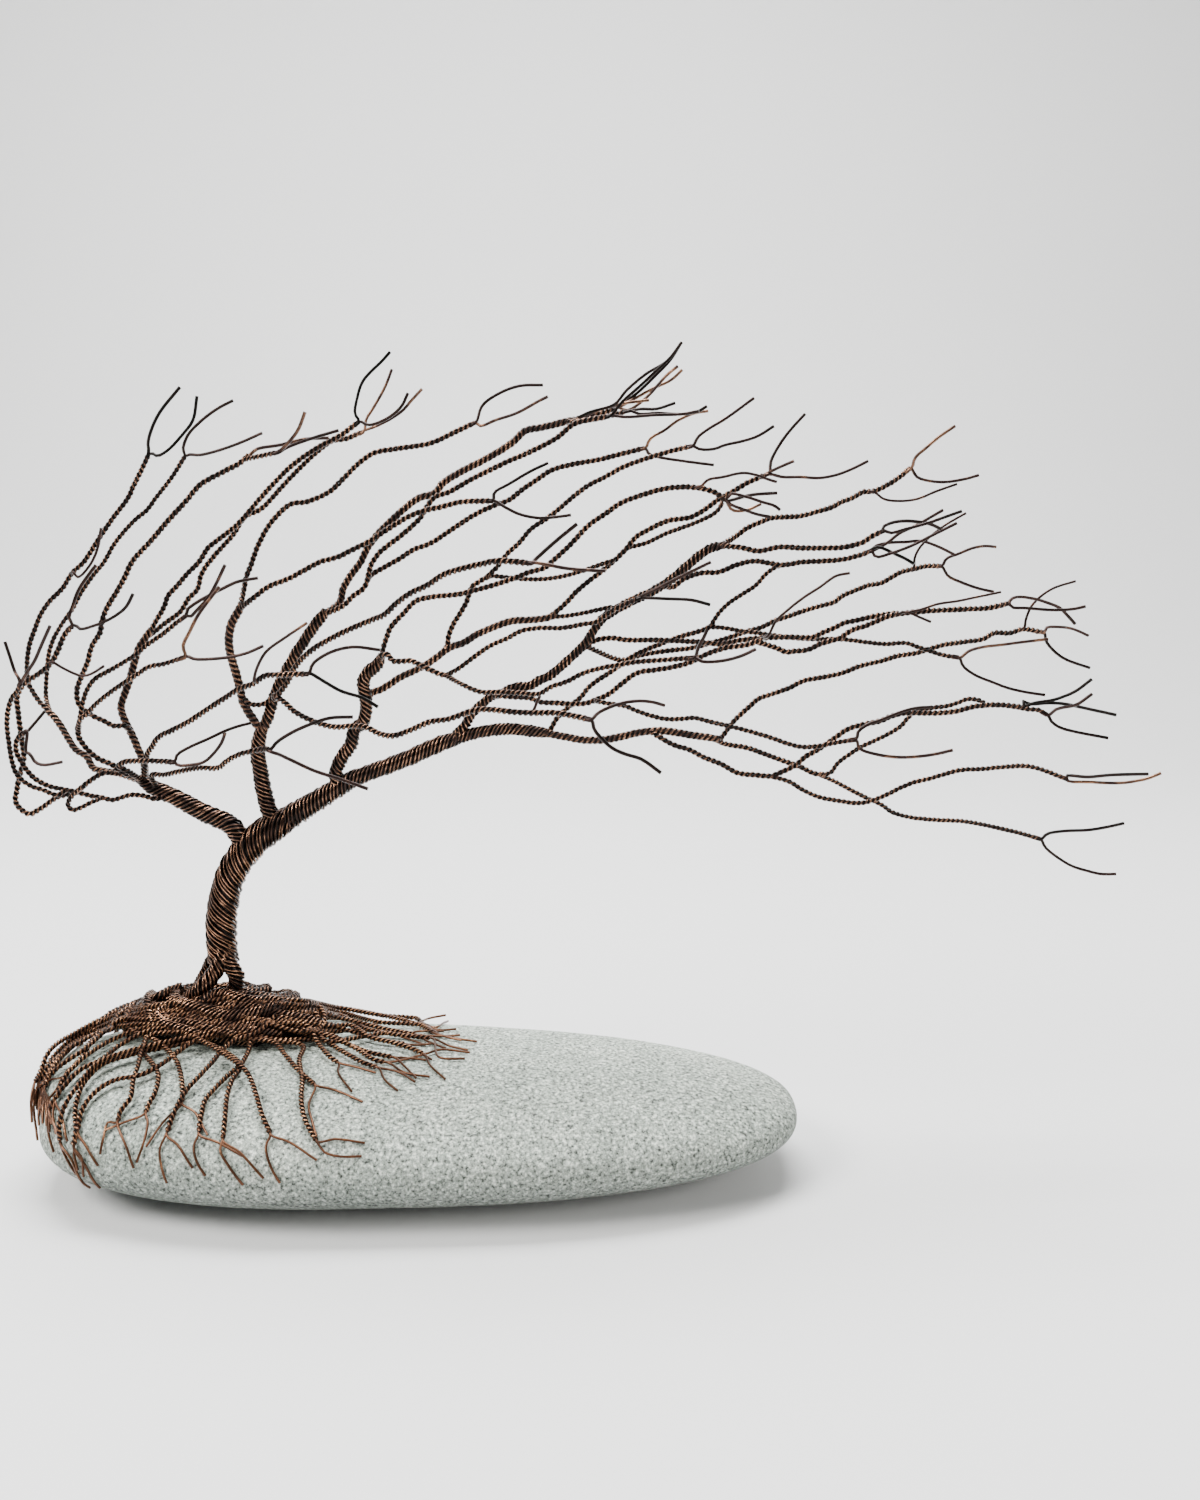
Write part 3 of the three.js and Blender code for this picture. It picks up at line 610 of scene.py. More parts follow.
# The mound between the trunk and the stone: thick twisted ropes of the same wire, wound outwards
# round the trunk's foot in two layers over a heart painted dark as the shade inside the mound, and
# looser coils laid across them from the front.
MOUND_LONG = 23.7 * MM
MOUND_DEEP = 12.6 * MM
MOUND_RISE = 7.0 * MM
MOUND_FOOT = 0.9 * MM
MOUND_REACH = 1.15
SLOPE, EDGE = 1.7, 6
SIGHT_REACH = -EYE_FROM_FOOT.y
SIGHT_FROM = SIGHT_REACH * 0.8
SIGHT_PAST_MOUND = SIGHT_REACH * 1.15
SIGHT_PAST_PEBBLE = SIGHT_REACH * 1.3
SIGHT_STEP = UNIT * 0.5
ROPE_STEP = 0.62 * MM
ROPE_WIRES = 15
ROPE_POINTS = 15
ROPE_FROM, ROPE_OVER, ROPE_CROWDING = 0.16, 0.75, 0.9
ROPE_SWEEPS = (4.2, 5.4)
ROPE_RISES = (-0.35, 0.45)
LAYERS = [  # how many ropes, how far they are lifted, and the first one's angle
    (5, -1.3 * MM, 0.4),
    (7, 0.0, 0.0),
]
HEART_REACH = 0.76
HEART_UNDER = 1.6 * MM
HEART_DEPTH = 1.5 * MM
HEART_ROUNDS, HEART_RINGS = 64, 24
COILS = [  # wires, lift in millimetres and route
    (26, 0.9, [(170, 1001), (186, 1005), (203, 1010), (225, 1016), (247, 1015), (276, 1008),
               (296, 1006)]),
    (20, 1.1, [(203, 1002), (211, 996), (225, 994), (240, 999), (256, 1002), (272, 1001),
               (290, 1006)]),
    (14, 1.0, [(182, 987), (169, 991), (156, 998), (137, 1004), (115, 1013), (98, 1024)]),
    (13, 1.2, [(152, 994), (148, 1000), (149, 1010), (153, 1022)]),
    (15, 1.2, [(175, 1003), (164, 1008), (158, 1015), (165, 1023), (180, 1028), (200, 1033)]),
    (15, 0.9, [(156, 1014), (172, 1021), (194, 1024), (214, 1030), (236, 1034)]),
    (15, 0.8, [(236, 1006), (262, 1009), (284, 1015), (306, 1019), (330, 1026)]),
    (14, 0.7, [(188, 1016), (214, 1023), (244, 1026), (274, 1022), (300, 1026), (322, 1033)]),
]


def mound_share(point):
    """How far out from the trunk's foot a point stands, where 1 is the mound's rim."""
    along = (point.x - TRUNK_FOOT.x) / MOUND_LONG
    return math.hypot(along, (point.y - TRUNK_FOOT.y) / MOUND_DEEP)


def mound_top(point):
    share = min(1.0, mound_share(point) / MOUND_REACH)
    bump = 0.5 + 0.5 * math.cos(math.pi * share**SLOPE)
    return pebble_top(point.x, point.y) + MOUND_FOOT * (1 - share**EDGE) + MOUND_RISE * bump


def mound_point(angle, share, lift):
    along = MOUND_LONG * share * math.cos(angle)
    point = TRUNK_FOOT + Vector((along, MOUND_DEEP * share * math.sin(angle), 0))
    point.z = mound_top(point) + lift
    return point


def on_pebble(drawn, lift):
    """Where the line of sight meets the pebble, or passes it most closely."""
    line = sight(drawn)
    reach = SIGHT_FROM
    best = EYE + line * reach
    least = math.inf
    while reach < SIGHT_PAST_PEBBLE:
        point = EYE + line * reach
        measure = outside(point, lift)
        if measure < least:
            least = measure
            best = point
        if measure <= 1:
            break
        reach += SIGHT_STEP
    return best


def laid(drawn, lift):
    """Where the line of sight meets the mound, or else the stone."""
    line = sight(drawn)
    reach = SIGHT_FROM
    while reach < SIGHT_PAST_MOUND:
        point = EYE + line * reach
        on_mound = mound_share(point) < MOUND_REACH and point.z <= mound_top(point) + lift
        if on_mound or outside(point, lift) <= 1:
            return point
        reach += SIGHT_STEP
    return on_pebble(drawn, lift)


mound = WireWork("mound_wires")
for layer, (ropes, lift, first) in enumerate(LAYERS):
    for k in range(ropes):
        draw = random.Random(40 + layer * 10 + k)
        start = first + 2 * math.pi * k / ropes
        sweep = draw.uniform(*ROPE_SWEEPS)
        points = []
        for i in range(ROPE_POINTS):
            share = ROPE_FROM + ROPE_OVER * (i / (ROPE_POINTS - 1)) ** ROPE_CROWDING
            rise = lift + draw.uniform(*ROPE_RISES) * MM
            points.append(mound_point(start + sweep * i / (ROPE_POINTS - 1), share, rise))
        rope = smooth_route(points, ROPE_STEP)
        mound.bundle(rope, ROPE_WIRES, seed=60 + layer * 10 + k)
for number, (wires, lift, route) in enumerate(COILS):
    coil = smooth_route([laid(drawn, lift * MM) for drawn in route], ROPE_STEP)
    mound.bundle(coil, wires, end_radius=WIRE, seed=90 + number)
mound.finish("copper_trunk", trunk_copper)

# The heart's dark, matt copper is painted shade that shows through the gaps between the ropes.
heart_shade_copper = copper(
    "mound heart painted shade",
    dark=(0.02, 0.012, 0.009, 1),
    middle=(0.04, 0.024, 0.017, 1),
    bright=(0.08, 0.048, 0.034, 1),
    roughness=0.6,
)
heart_bm = bmesh.new()
bmesh.ops.create_uvsphere(
    heart_bm, u_segments=HEART_ROUNDS, v_segments=HEART_RINGS, radius=1
)
for vert in heart_bm.verts:
    share = math.hypot(vert.co.x, vert.co.y) * HEART_REACH
    place = mound_point(math.atan2(vert.co.y, vert.co.x), share, -HEART_UNDER)
    if vert.co.z < 0:
        place.z = min(place.z, pebble_top(place.x, place.y)) - HEART_DEPTH
    vert.co = place
heart = mesh_object("mound_heart", heart_bm, heart_shade_copper)
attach(heart, "root")


# The roots: cords of two wires that come out of the mound's rim, half round it, and hold the
# stone. Each parts into its two wires at its end. They lie in three layers over one another.
ROOT_WIRES = 2
ROOT_STEP = 0.33 * MM
ROOT_LIFT = 0.5 * MM
FIRST_LAYER, LAYER_RISE, ROOT_LAYERS = 0.55, 0.5, 3
FIRST_WRAP, WRAP_RISE, ROOT_WRAPS = 0.5, 0.17, 4
RIM_REACH, RIM_CLIMB, RIM_POINTS = 1.1, 0.09, (3, 2, 1)
BACK_FROM = 1.08
ROOT_TIP_STEP = 0.8 * MM
ROOT_TIP_AHEAD = 0.5 * MM
ROOT_TIP_LIFT = 0.3 * MM
ROOT_TIP_CLEAR = 0.26 * MM
ROOT_TIP_APART = 0.12 * MM
ROOTS = [  # whether it is also laid at the back, its route, and the routes of its loose wires
    (False, [(164, 1004), (130, 1011), (99, 1023), (71, 1039), (52, 1058), (40, 1079)],
     [[(35, 1096), (33, 1112)], [(41, 1096), (39, 1116)]]),
    (False, [(152, 1011), (118, 1020), (89, 1033), (64, 1051), (49, 1071), (42, 1088)],
     [[(39, 1102), (39, 1126)], [(46, 1104), (47, 1126)]]),
    (False, [(178, 1002), (145, 1008), (112, 1019), (82, 1034), (57, 1054), (43, 1078)],
     [[(37, 1094), (35, 1106)], [(44, 1098), (43, 1124)]]),
    (False, [(168, 1012), (132, 1019), (98, 1031), (72, 1047), (54, 1066), (45, 1086)],
     [[(41, 1102), (42, 1118)], [(50, 1104), (50, 1132)]]),
    (False, [(192, 1020), (152, 1026), (116, 1038), (88, 1054), (66, 1075), (56, 1098)],
     [[(53, 1114), (56, 1134)], [(62, 1116), (68, 1142)]]),
    (False, [(292, 1004), (330, 1006), (365, 1012), (398, 1019), (425, 1026)],
     [[(440, 1030), (456, 1029)], [(442, 1036), (462, 1041)]]),
    (False, [(300, 1012), (345, 1019), (385, 1029), (414, 1034)],
     [[(430, 1036), (449, 1036)], [(428, 1042), (446, 1049)]]),
    (False, [(318, 1022), (350, 1031), (382, 1040), (404, 1044)],
     [[(418, 1045), (436, 1043)], [(416, 1051), (432, 1060)]]),
    (False, [(318, 1033), (345, 1043), (368, 1052), (392, 1057)],
     [[(408, 1058), (426, 1060)], [(404, 1066), (416, 1078)]]),
    (False, [(150, 1005), (110, 1015), (80, 1030), (50, 1050), (40, 1072), (35, 1082)],
     [[(31, 1100), (32, 1123)], [(34, 1112), (38, 1140)]]),
    (False, [(130, 1025), (100, 1032), (75, 1045), (52, 1062), (40, 1080)],
     [[(36, 1096), (37, 1110)], [(45, 1098), (48, 1120)]]),
    (True, [(120, 1020), (95, 1040), (80, 1052), (60, 1066), (45, 1080)],
     [[(38, 1094), (38, 1106)], [(47, 1100), (52, 1124)]]),
    (False, [(105, 1030), (92, 1040), (85, 1052), (75, 1065), (65, 1075)],
     [[(50, 1080), (36, 1088)], [(55, 1092), (40, 1110)]]),
    (True, [(150, 1030), (120, 1045), (100, 1060), (80, 1070), (65, 1085), (55, 1098), (50, 1108)],
     [[(48, 1130), (54, 1153)], [(56, 1128), (64, 1150)]]),
    (True, [(115, 1055), (95, 1065), (78, 1085), (65, 1105), (59, 1125), (60, 1140)],
     [[(70, 1165), (80, 1178)], [(72, 1160), (90, 1188)]]),
    (False, [(105, 1063), (90, 1075), (80, 1090), (75, 1110), (76, 1130), (74, 1145)],
     [[(85, 1165), (100, 1188)], [(82, 1158), (84, 1176)]]),
    (True,
     [(200, 1038), (180, 1050), (160, 1065), (140, 1075), (115, 1080), (100, 1088), (88, 1100),
      (80, 1115), (78, 1130)],
     [[(86, 1146), (98, 1166)], [(74, 1148), (78, 1170)]]),
    (False,
     [(150, 1035), (142, 1050), (138, 1065), (133, 1080), (130, 1098), (120, 1112), (118, 1120)],
     [[(108, 1122), (104, 1135), (100, 1155)], [(127, 1148), (134, 1168)]]),
    (True, [(145, 1050), (153, 1065), (158, 1075), (155, 1092), (148, 1105), (146, 1111)],
     [[(125, 1122), (105, 1130)], [(148, 1122), (144, 1142), (137, 1162)]]),
    (False, [(155, 1040), (172, 1055), (178, 1065), (182, 1085), (182, 1102)],
     [[(165, 1120), (146, 1147)], [(195, 1112), (208, 1135)]]),
    (True,
     [(235, 1040), (222, 1050), (212, 1062), (200, 1075), (188, 1088), (180, 1100), (173, 1115),
      (167, 1132)],
     [[(160, 1148), (161, 1165), (167, 1184)], [(178, 1145), (193, 1168)]]),
    (False,
     [(250, 1035), (250, 1045), (240, 1065), (228, 1075), (215, 1088), (205, 1100), (201, 1115),
      (199, 1132)],
     [[(194, 1145), (196, 1160), (206, 1177)], [(220, 1143), (243, 1156)]]),
    (True, [(240, 1065), (232, 1080), (227, 1095), (225, 1115), (223, 1138)],
     [[(220, 1150), (228, 1165), (243, 1185)], [(240, 1152), (252, 1165), (264, 1178)]]),
    (True, [(243, 1068), (250, 1078), (256, 1095), (262, 1115), (270, 1133)],
     [[(266, 1145), (270, 1165), (280, 1183)], [(290, 1142), (317, 1160)]]),
    (True, [(302, 1045), (299, 1060), (302, 1080), (301, 1100), (305, 1120), (316, 1140)],
     [[(335, 1139), (365, 1143)], [(325, 1152), (340, 1156), (362, 1156)]]),
    (False, [(273, 1042), (285, 1055), (298, 1070), (314, 1084)],
     [[(335, 1090), (363, 1102)], [(309, 1105), (312, 1120), (317, 1137)]]),
    (True, [(306, 1025), (318, 1043), (330, 1057), (337, 1062)],
     [[(338, 1072), (352, 1092)], [(355, 1067), (376, 1073)]]),
    (False, [(320, 1040), (345, 1053), (362, 1062), (376, 1067)],
     [[(385, 1080), (398, 1091)], [(398, 1072), (415, 1082)]]),
    (True, [(330, 1035), (355, 1048), (375, 1060), (385, 1062)],
     [[(402, 1060), (422, 1055)], [(405, 1073), (430, 1077)]]),
    (False, [(350, 1025), (370, 1037), (390, 1042), (410, 1048), (422, 1053)],
     [[(430, 1065), (445, 1079)], [(440, 1050), (470, 1053)]]),
    (False, [(340, 1015), (370, 1030), (400, 1035), (430, 1038)],
     [[(450, 1046), (468, 1050)], [(440, 1058), (465, 1059)]]),
    (False, [(300, 1005), (340, 1012), (380, 1022), (420, 1025), (432, 1032)],
     [[(445, 1036), (460, 1035)], [(450, 1038), (477, 1042)]]),
    (False, [(300, 1000), (340, 1008), (380, 1015), (415, 1018), (420, 1021)],
     [[(430, 1018), (446, 1015)], [(435, 1028), (448, 1021)]]),
]


def clear_of(point, lift):
    """Pushes a point out of the stone, and out of the mound."""
    point = point.copy()
    measure = outside(point, lift)
    if measure < 1:
        out = measure ** (-1 / SECTION_FULLNESS)
        point.y *= out
        point.z = PEBBLE_MIDDLE + (point.z - PEBBLE_MIDDLE) * out
    if mound_share(point) < MOUND_REACH and point.z > PEBBLE_MIDDLE:
        point.z = max(point.z, mound_top(point) + lift)
    return point


def on_side(points, side):
    """The points as they are, or mirrored to the stone's other side."""
    return [Vector((p.x, p.y * side, p.z)) for p in points]


def root_cord(work, both, route, tips, number):
    layer = (FIRST_LAYER + LAYER_RISE * (number % ROOT_LAYERS)) * MM
    wrap = FIRST_WRAP + WRAP_RISE * (number % ROOT_WRAPS)
    path = []
    for i, drawn in enumerate(route):
        path.append(laid(drawn, ROOT_LIFT + layer * (1 - i / (len(route) - 1))))
    ends = [[on_pebble(drawn, ROOT_TIP_LIFT) for drawn in tip] for tip in tips]
    for side in (1, -1) if both else (1,):
        points = on_side(path, side)
        if side < 0:
            shown = [p for p in points[:-1] if mound_share(p) > BACK_FROM]
            points = [*shown, points[-1]]
        first = points[0]
        share = min(RIM_REACH, mound_share(first))
        angle = math.atan2(
            (first.y - TRUNK_FOOT.y) / MOUND_DEEP, (first.x - TRUNK_FOOT.x) / MOUND_LONG
        )
        heading = 1 if points[-1].x > TRUNK_FOOT.x else -1
        rim = []
        for j in RIM_POINTS:
            turned = angle - heading * side * wrap * j / len(RIM_POINTS)
            rim.append(mound_point(turned, share * (1 - RIM_CLIMB * j), layer))
        cord = smooth_route([*rim, *points], ROOT_STEP)
        cord = [clear_of(p, ROOT_LIFT) for p in cord]
        work.bundle(cord, ROOT_WIRES, seed=200 + number)
        ahead = (cord[-1] - cord[-3]).normalized()
        for index, end in enumerate(ends):
            start = [cord[-1] - ahead * LAP, cord[-1] + ahead * ROOT_TIP_AHEAD]
            wire = smooth_route([*start, *on_side(end, side)], ROOT_TIP_STEP)
            lift = ROOT_TIP_CLEAR + ROOT_TIP_APART * index
            work.wire([clear_of(p, lift) for p in wire])


root_copper = copper(
    "root copper",
    dark=(0.012, 0.006, 0.004, 1),
    middle=(0.12, 0.052, 0.027, 1),
    bright=(0.62, 0.32, 0.16, 1),
    roughness=0.25,
)
root_work = WireWork("root_wires")
for number, (both, route, tips) in enumerate(ROOTS):
    root_cord(root_work, both, route, tips, number)
root_work.finish("copper_roots", root_copper, "roots")


# The left limb: some 36 of the trunk's wires, swept back over the pebble's left end. It parts
# into ever thinner twisted cords, and each cord ends in a few loose wires.
CORD_STEP = 0.3 * MM
TWIG_STEP = 0.42 * MM

# The loose wires: how far they lead on out of the cord and lie apart there, how far in depth
# their tips spread, their girth in wires, and how bright they are.
TIP_STEP = 0.9 * MM
TIP_AHEAD = 0.8 * MM
TIP_SHIFT = 0.4
TIP_START = 0.3
TIP_SPREAD = 2.6
TIP_SPREADS = (0.6, 1.3)
TIP_GIRTH = 1.35
TIP_RUBS = (0.6, 0.9)

# How much thicker some branches are where they leave, so that they flow out of their parent.
SWELL = {"right": 1.6, "left": 1.25, "middle": 1.2, "first": 1.1, "second": 1.1}
branch_copper = copper(
    "branch copper",
    dark=(0.004, 0.003, 0.002, 1),
    middle=(0.034, 0.018, 0.015, 1),
    bright=(0.46, 0.24, 0.14, 1),
    roughness=0.22,
)
paths = {"trunk": trunk_path}


def leaving(path, point):
    """The point of a path nearest to another point, set back by the lap."""
    nearest = min(range(len(path)), key=lambda i: (path[i] - point).length_squared)
    back = round(LAP / (path[1] - path[0]).length)
    return path[max(0, nearest - back)]


def loose_wire(work, path, route, depth, index, seed):
    """One wire that springs from a cord's end and runs on alone to its tip."""
    draw = random.Random(seed)
    end = path[-1]
    ahead = (path[-1] - path[-3]).normalized()
    turned = 1 if index % 2 else -1
    shift = ahead.orthogonal().normalized() * (WIRE * TIP_SHIFT * turned)
    spread = -turned * TIP_SPREAD * draw.uniform(*TIP_SPREADS)
    points = [end - ahead * LAP + shift * TIP_START, end + ahead * TIP_AHEAD + shift]
    for i, drawn in enumerate(route):
        points.append(in_tree(drawn, depth + spread * (i + 1) / len(route)))
    work.wire(smooth_route(points, TIP_STEP), TIP_GIRTH, painted_light_and_wear=draw.uniform(*TIP_RUBS))


def limb(node, seed, branches):
    """Makes one limb in place of its node. Each of its branches has a name, the branch it leaves,
    its wires, its depths at start and end, its route, and the routes of its loose wires."""
    work = WireWork(node + "_wires")
    forks = {}
    for name, parent, wires, (near, far), route, *tips in branches:
        points = []
        for i, drawn in enumerate(route):
            points.append(in_tree(drawn, near + (far - near) * (i + 1) / len(route)))
        points.insert(0, leaving(paths[parent], points[0]))
        step = THICK_STEP if wires > FINE else CORD_STEP if wires in CORDS else TWIG_STEP
        paths[name] = smooth_route(points, step)
        if (paths[name][0] - paths[parent][-1]).length < LAP * 2:
            forks[parent] = max(forks.get(parent, 0.0), bundle_radius(wires))
    for number, (name, parent, wires, (near, far), route, *tips) in enumerate(branches):
        closing = min(bundle_radius(wires), forks.get(name, WIRE))
        swell = SWELL.get(name, 1.0)
        work.bundle(paths[name], wires, end_radius=closing, swell=swell, seed=seed + number)
        for index, tip in enumerate(tips[0] if tips else []):
            loose_wire(work, paths[name], tip, far, index, seed * 31 + number * 7 + index)
    work.finish("copper_branches", branch_copper, node)


limb("left_limb", 100, [
    ("left", "trunk", 36, (0, 0),
     [(232, 826), (216, 818), (200, 811), (184, 802), (168, 794), (150, 786), (138, 778)]),
    ("front", "left", 4, (-4, -8),
     [(121, 771), (111, 764), (99, 759), (87, 749), (79, 737), (78, 726)]),
    ("front high", "front", 2, (-8, -10),
     [(81, 712), (83, 702), (87, 690), (95, 679), (107, 672), (121, 664), (135, 655), (147, 645),
      (163, 634), (175, 624), (183, 618)],
     [[(187, 610), (196, 603), (208, 596), (220, 590), (237, 582), (258, 578)],
      [(190, 617), (197, 610), (208, 598), (216, 584), (225, 565)]]),
    ("front low", "front", 2, (-10, -16),
     [(80, 720), (87, 714), (95, 705), (107, 695), (121, 685), (135, 676), (149, 667),
      (164, 664), (182, 658)],
     [[(183, 646), (189, 633), (197, 617), (209, 600), (220, 586)],
      [(194, 659), (211, 659), (230, 657), (247, 653), (263, 646)]]),
    ("nearest", "left", 4, (-4, -22),
     [(147, 755), (152, 747), (159, 737), (173, 730), (190, 721), (208, 709), (225, 698),
      (239, 689), (253, 684), (265, 676), (280, 675), (305, 674)],
     [[(312, 665), (320, 658), (334, 651), (353, 647), (380, 650)],
      [(320, 679), (341, 691), (363, 698), (378, 707)]]),
    ("nearest side", "nearest", 1, (-19, -21),
     [(254, 680), (257, 668), (266, 652), (286, 637), (307, 623)]),
    ("curl", "left", 4, (-5, -12),
     [(128, 771), (119, 766), (125, 762), (138, 761), (152, 761), (171, 762)],
     [[(177, 755), (190, 747), (208, 739), (225, 731), (239, 726), (251, 723)],
      [(177, 765), (190, 765), (204, 762), (215, 752), (222, 742), (225, 733)]]),
    ("low", "left", 3, (-3, -20),
     [(152, 775), (163, 775), (173, 773), (187, 770), (201, 768), (218, 768), (227, 761),
      (241, 754), (265, 749), (269, 750)],
     [[(276, 743), (291, 733), (311, 724), (330, 718), (353, 717)],
      [(278, 754), (291, 760), (315, 771), (340, 779), (368, 789)]]),
    ("second loop", "left", 3, (-2, -8),
     [(156, 799), (144, 796), (131, 795), (112, 800), (104, 798), (92, 796), (67, 790),
      (52, 787), (40, 782), (31, 775), (24, 766), (16, 750), (18, 738), (24, 733)],
     [[(27, 732), (34, 724), (45, 711)], [(26, 752), (30, 754), (35, 762), (43, 765), (62, 762)]]),
    ("third loop", "second loop", 2, (-6, -11),
     [(57, 795), (43, 790), (31, 786), (22, 780), (16, 773), (12, 761), (9, 743), (7, 726),
      (8, 711), (12, 698), (18, 690), (20, 684)],
     [[(15, 672), (10, 657), (5, 642)], [(28, 671), (35, 660), (41, 646), (50, 626)]]),
    ("small loop", "second loop", 2, (-6, -10),
     [(92, 802), (73, 810), (68, 804), (74, 794), (84, 786)]),
])
limb("left_outer_limb", 200, [
    ("outer", "left", 7, (1, 8),
     [(117, 773), (104, 771), (93, 768), (87, 757), (76, 750), (69, 740), (62, 728), (54, 717),
      (46, 710)]),
    ("outer high", "outer", 3, (8, 10),
     [(38, 700), (33, 692), (29, 685), (27, 670), (29, 647), (35, 629), (41, 614), (50, 601),
      (62, 589), (73, 572), (83, 563), (100, 537), (113, 518), (128, 498), (133, 487),
      (140, 473), (148, 456)],
     [[(148, 443), (152, 428), (160, 412), (180, 387)],
      [(157, 456), (168, 450), (183, 434), (193, 420), (197, 396)]]),
    ("outer side", "outer high", 1, (8, 6),
     [(73, 572), (78, 577), (90, 565), (98, 547), (101, 528)]),
    ("outer low", "outer", 2, (12, 18),
     [(46, 698), (46, 685), (47, 671), (49, 653), (54, 638), (62, 624), (73, 608), (81, 593),
      (92, 577), (104, 562), (115, 543), (135, 520), (147, 510), (155, 499), (172, 477),
      (184, 458)],
     [[(183, 450), (188, 435), (200, 422), (217, 409), (234, 400)],
      [(200, 455), (220, 450), (242, 442), (262, 433)]]),
    ("loop", "outer", 4, (-1, -4),
     [(104, 773), (90, 781), (74, 793), (58, 797), (40, 809), (29, 814), (16, 803), (17, 790),
      (20, 775), (24, 757), (21, 735), (18, 710), (17, 697), (24, 684), (40, 673), (52, 662),
      (59, 648), (64, 636), (71, 627)],
     [[(69, 619), (73, 605), (78, 591), (87, 577), (96, 565)],
      [(80, 629), (93, 626), (106, 621), (118, 614), (126, 607), (133, 594)]]),
    ("loop side", "loop", 1, (-4, -5),
     [(52, 662), (61, 667), (73, 673), (83, 676), (93, 673), (104, 666)]),
])
limb("left_inner_limb", 300, [
    ("inner", "left", 9, (4, 10),
     [(144, 764), (138, 749), (133, 737), (128, 727), (123, 716), (121, 707), (125, 693),
      (130, 679), (134, 664), (138, 650), (144, 640), (151, 630)]),
    ("inner high", "inner", 4, (11, 14),
     [(156, 621), (164, 607), (168, 596), (177, 586), (187, 574), (199, 562), (208, 548),
      (222, 537), (240, 522), (257, 502), (277, 480), (288, 469), (306, 455), (324, 444),
      (341, 435), (356, 424)],
     [[(355, 414), (357, 399), (363, 381), (383, 360), (390, 352)],
      [(368, 425), (386, 419), (401, 407), (408, 393)]]),
    ("inner low", "inner", 4, (13, 20),
     [(154, 632), (164, 624), (180, 612), (189, 598), (197, 590), (202, 573), (215, 555),
      (233, 535), (245, 517), (261, 509), (280, 489), (291, 477), (306, 462), (318, 451),
      (332, 441), (345, 439), (360, 433)],
     [[(366, 420), (374, 407), (385, 387), (392, 369)],
      [(379, 425), (401, 412), (411, 401), (422, 389)]]),
    ("inward", "inner", 4, (4, -2),
     [(126, 726), (114, 726), (104, 721), (93, 716), (81, 707), (78, 702), (77, 690), (81, 678),
      (87, 664), (92, 646), (100, 633), (102, 621), (107, 608), (116, 593), (125, 577),
      (132, 562), (150, 542), (167, 522), (187, 500), (200, 485), (223, 472), (240, 463),
      (249, 455)],
     [[(257, 449), (280, 445), (306, 439), (329, 438)]]),
    ("inward end", "inward", 2, (-3, -5), [(257, 457), (266, 455), (275, 453)],
     [[(286, 448), (313, 438), (340, 430)], [(288, 443), (298, 430), (305, 412)]]),
])


# The middle limb: 28 of the trunk's wires, twisted as in the left one. It climbs out of the
# shoulder, forks once, and leans with the wind. Its right fork carries the highest branches, and
# two thin cords that come far to the front.
limb("middle_limb", 400, [
    ("middle", "trunk", 28, (0, 0), [(265, 796), (261, 775), (258, 752), (259, 741), (263, 725)]),
    ("left fork", "middle", 11, (0, 0),
     [(251, 716), (243, 702), (241, 693), (236, 673), (230, 652), (229, 637), (232, 623),
      (238, 612), (242, 604)]),
    ("left high", "left fork", 4, (2, 8),
     [(244, 589), (247, 575), (251, 565), (257, 548), (266, 530), (274, 519), (291, 504),
      (306, 502), (329, 492), (342, 480), (358, 464), (374, 453), (395, 449), (431, 443),
      (453, 433), (472, 424)],
     [[(482, 406), (498, 394), (519, 386), (543, 385)],
      [(480, 426), (496, 420), (517, 413), (539, 401), (549, 396)]]),
    ("left low", "left fork", 4, (-3, -6),
     [(251, 600), (268, 587), (288, 579), (305, 570), (320, 562), (338, 557), (352, 550),
      (370, 541), (388, 529), (410, 516), (427, 510), (441, 507), (461, 502), (489, 501)],
     [[(494, 493), (509, 484), (531, 471), (548, 463)],
      [(503, 506), (519, 514), (539, 518), (556, 517), (571, 515)]]),
    ("bridge", "left fork", 3, (-1, -1), [(246, 700), (250, 704), (263, 704), (274, 697)]),
])
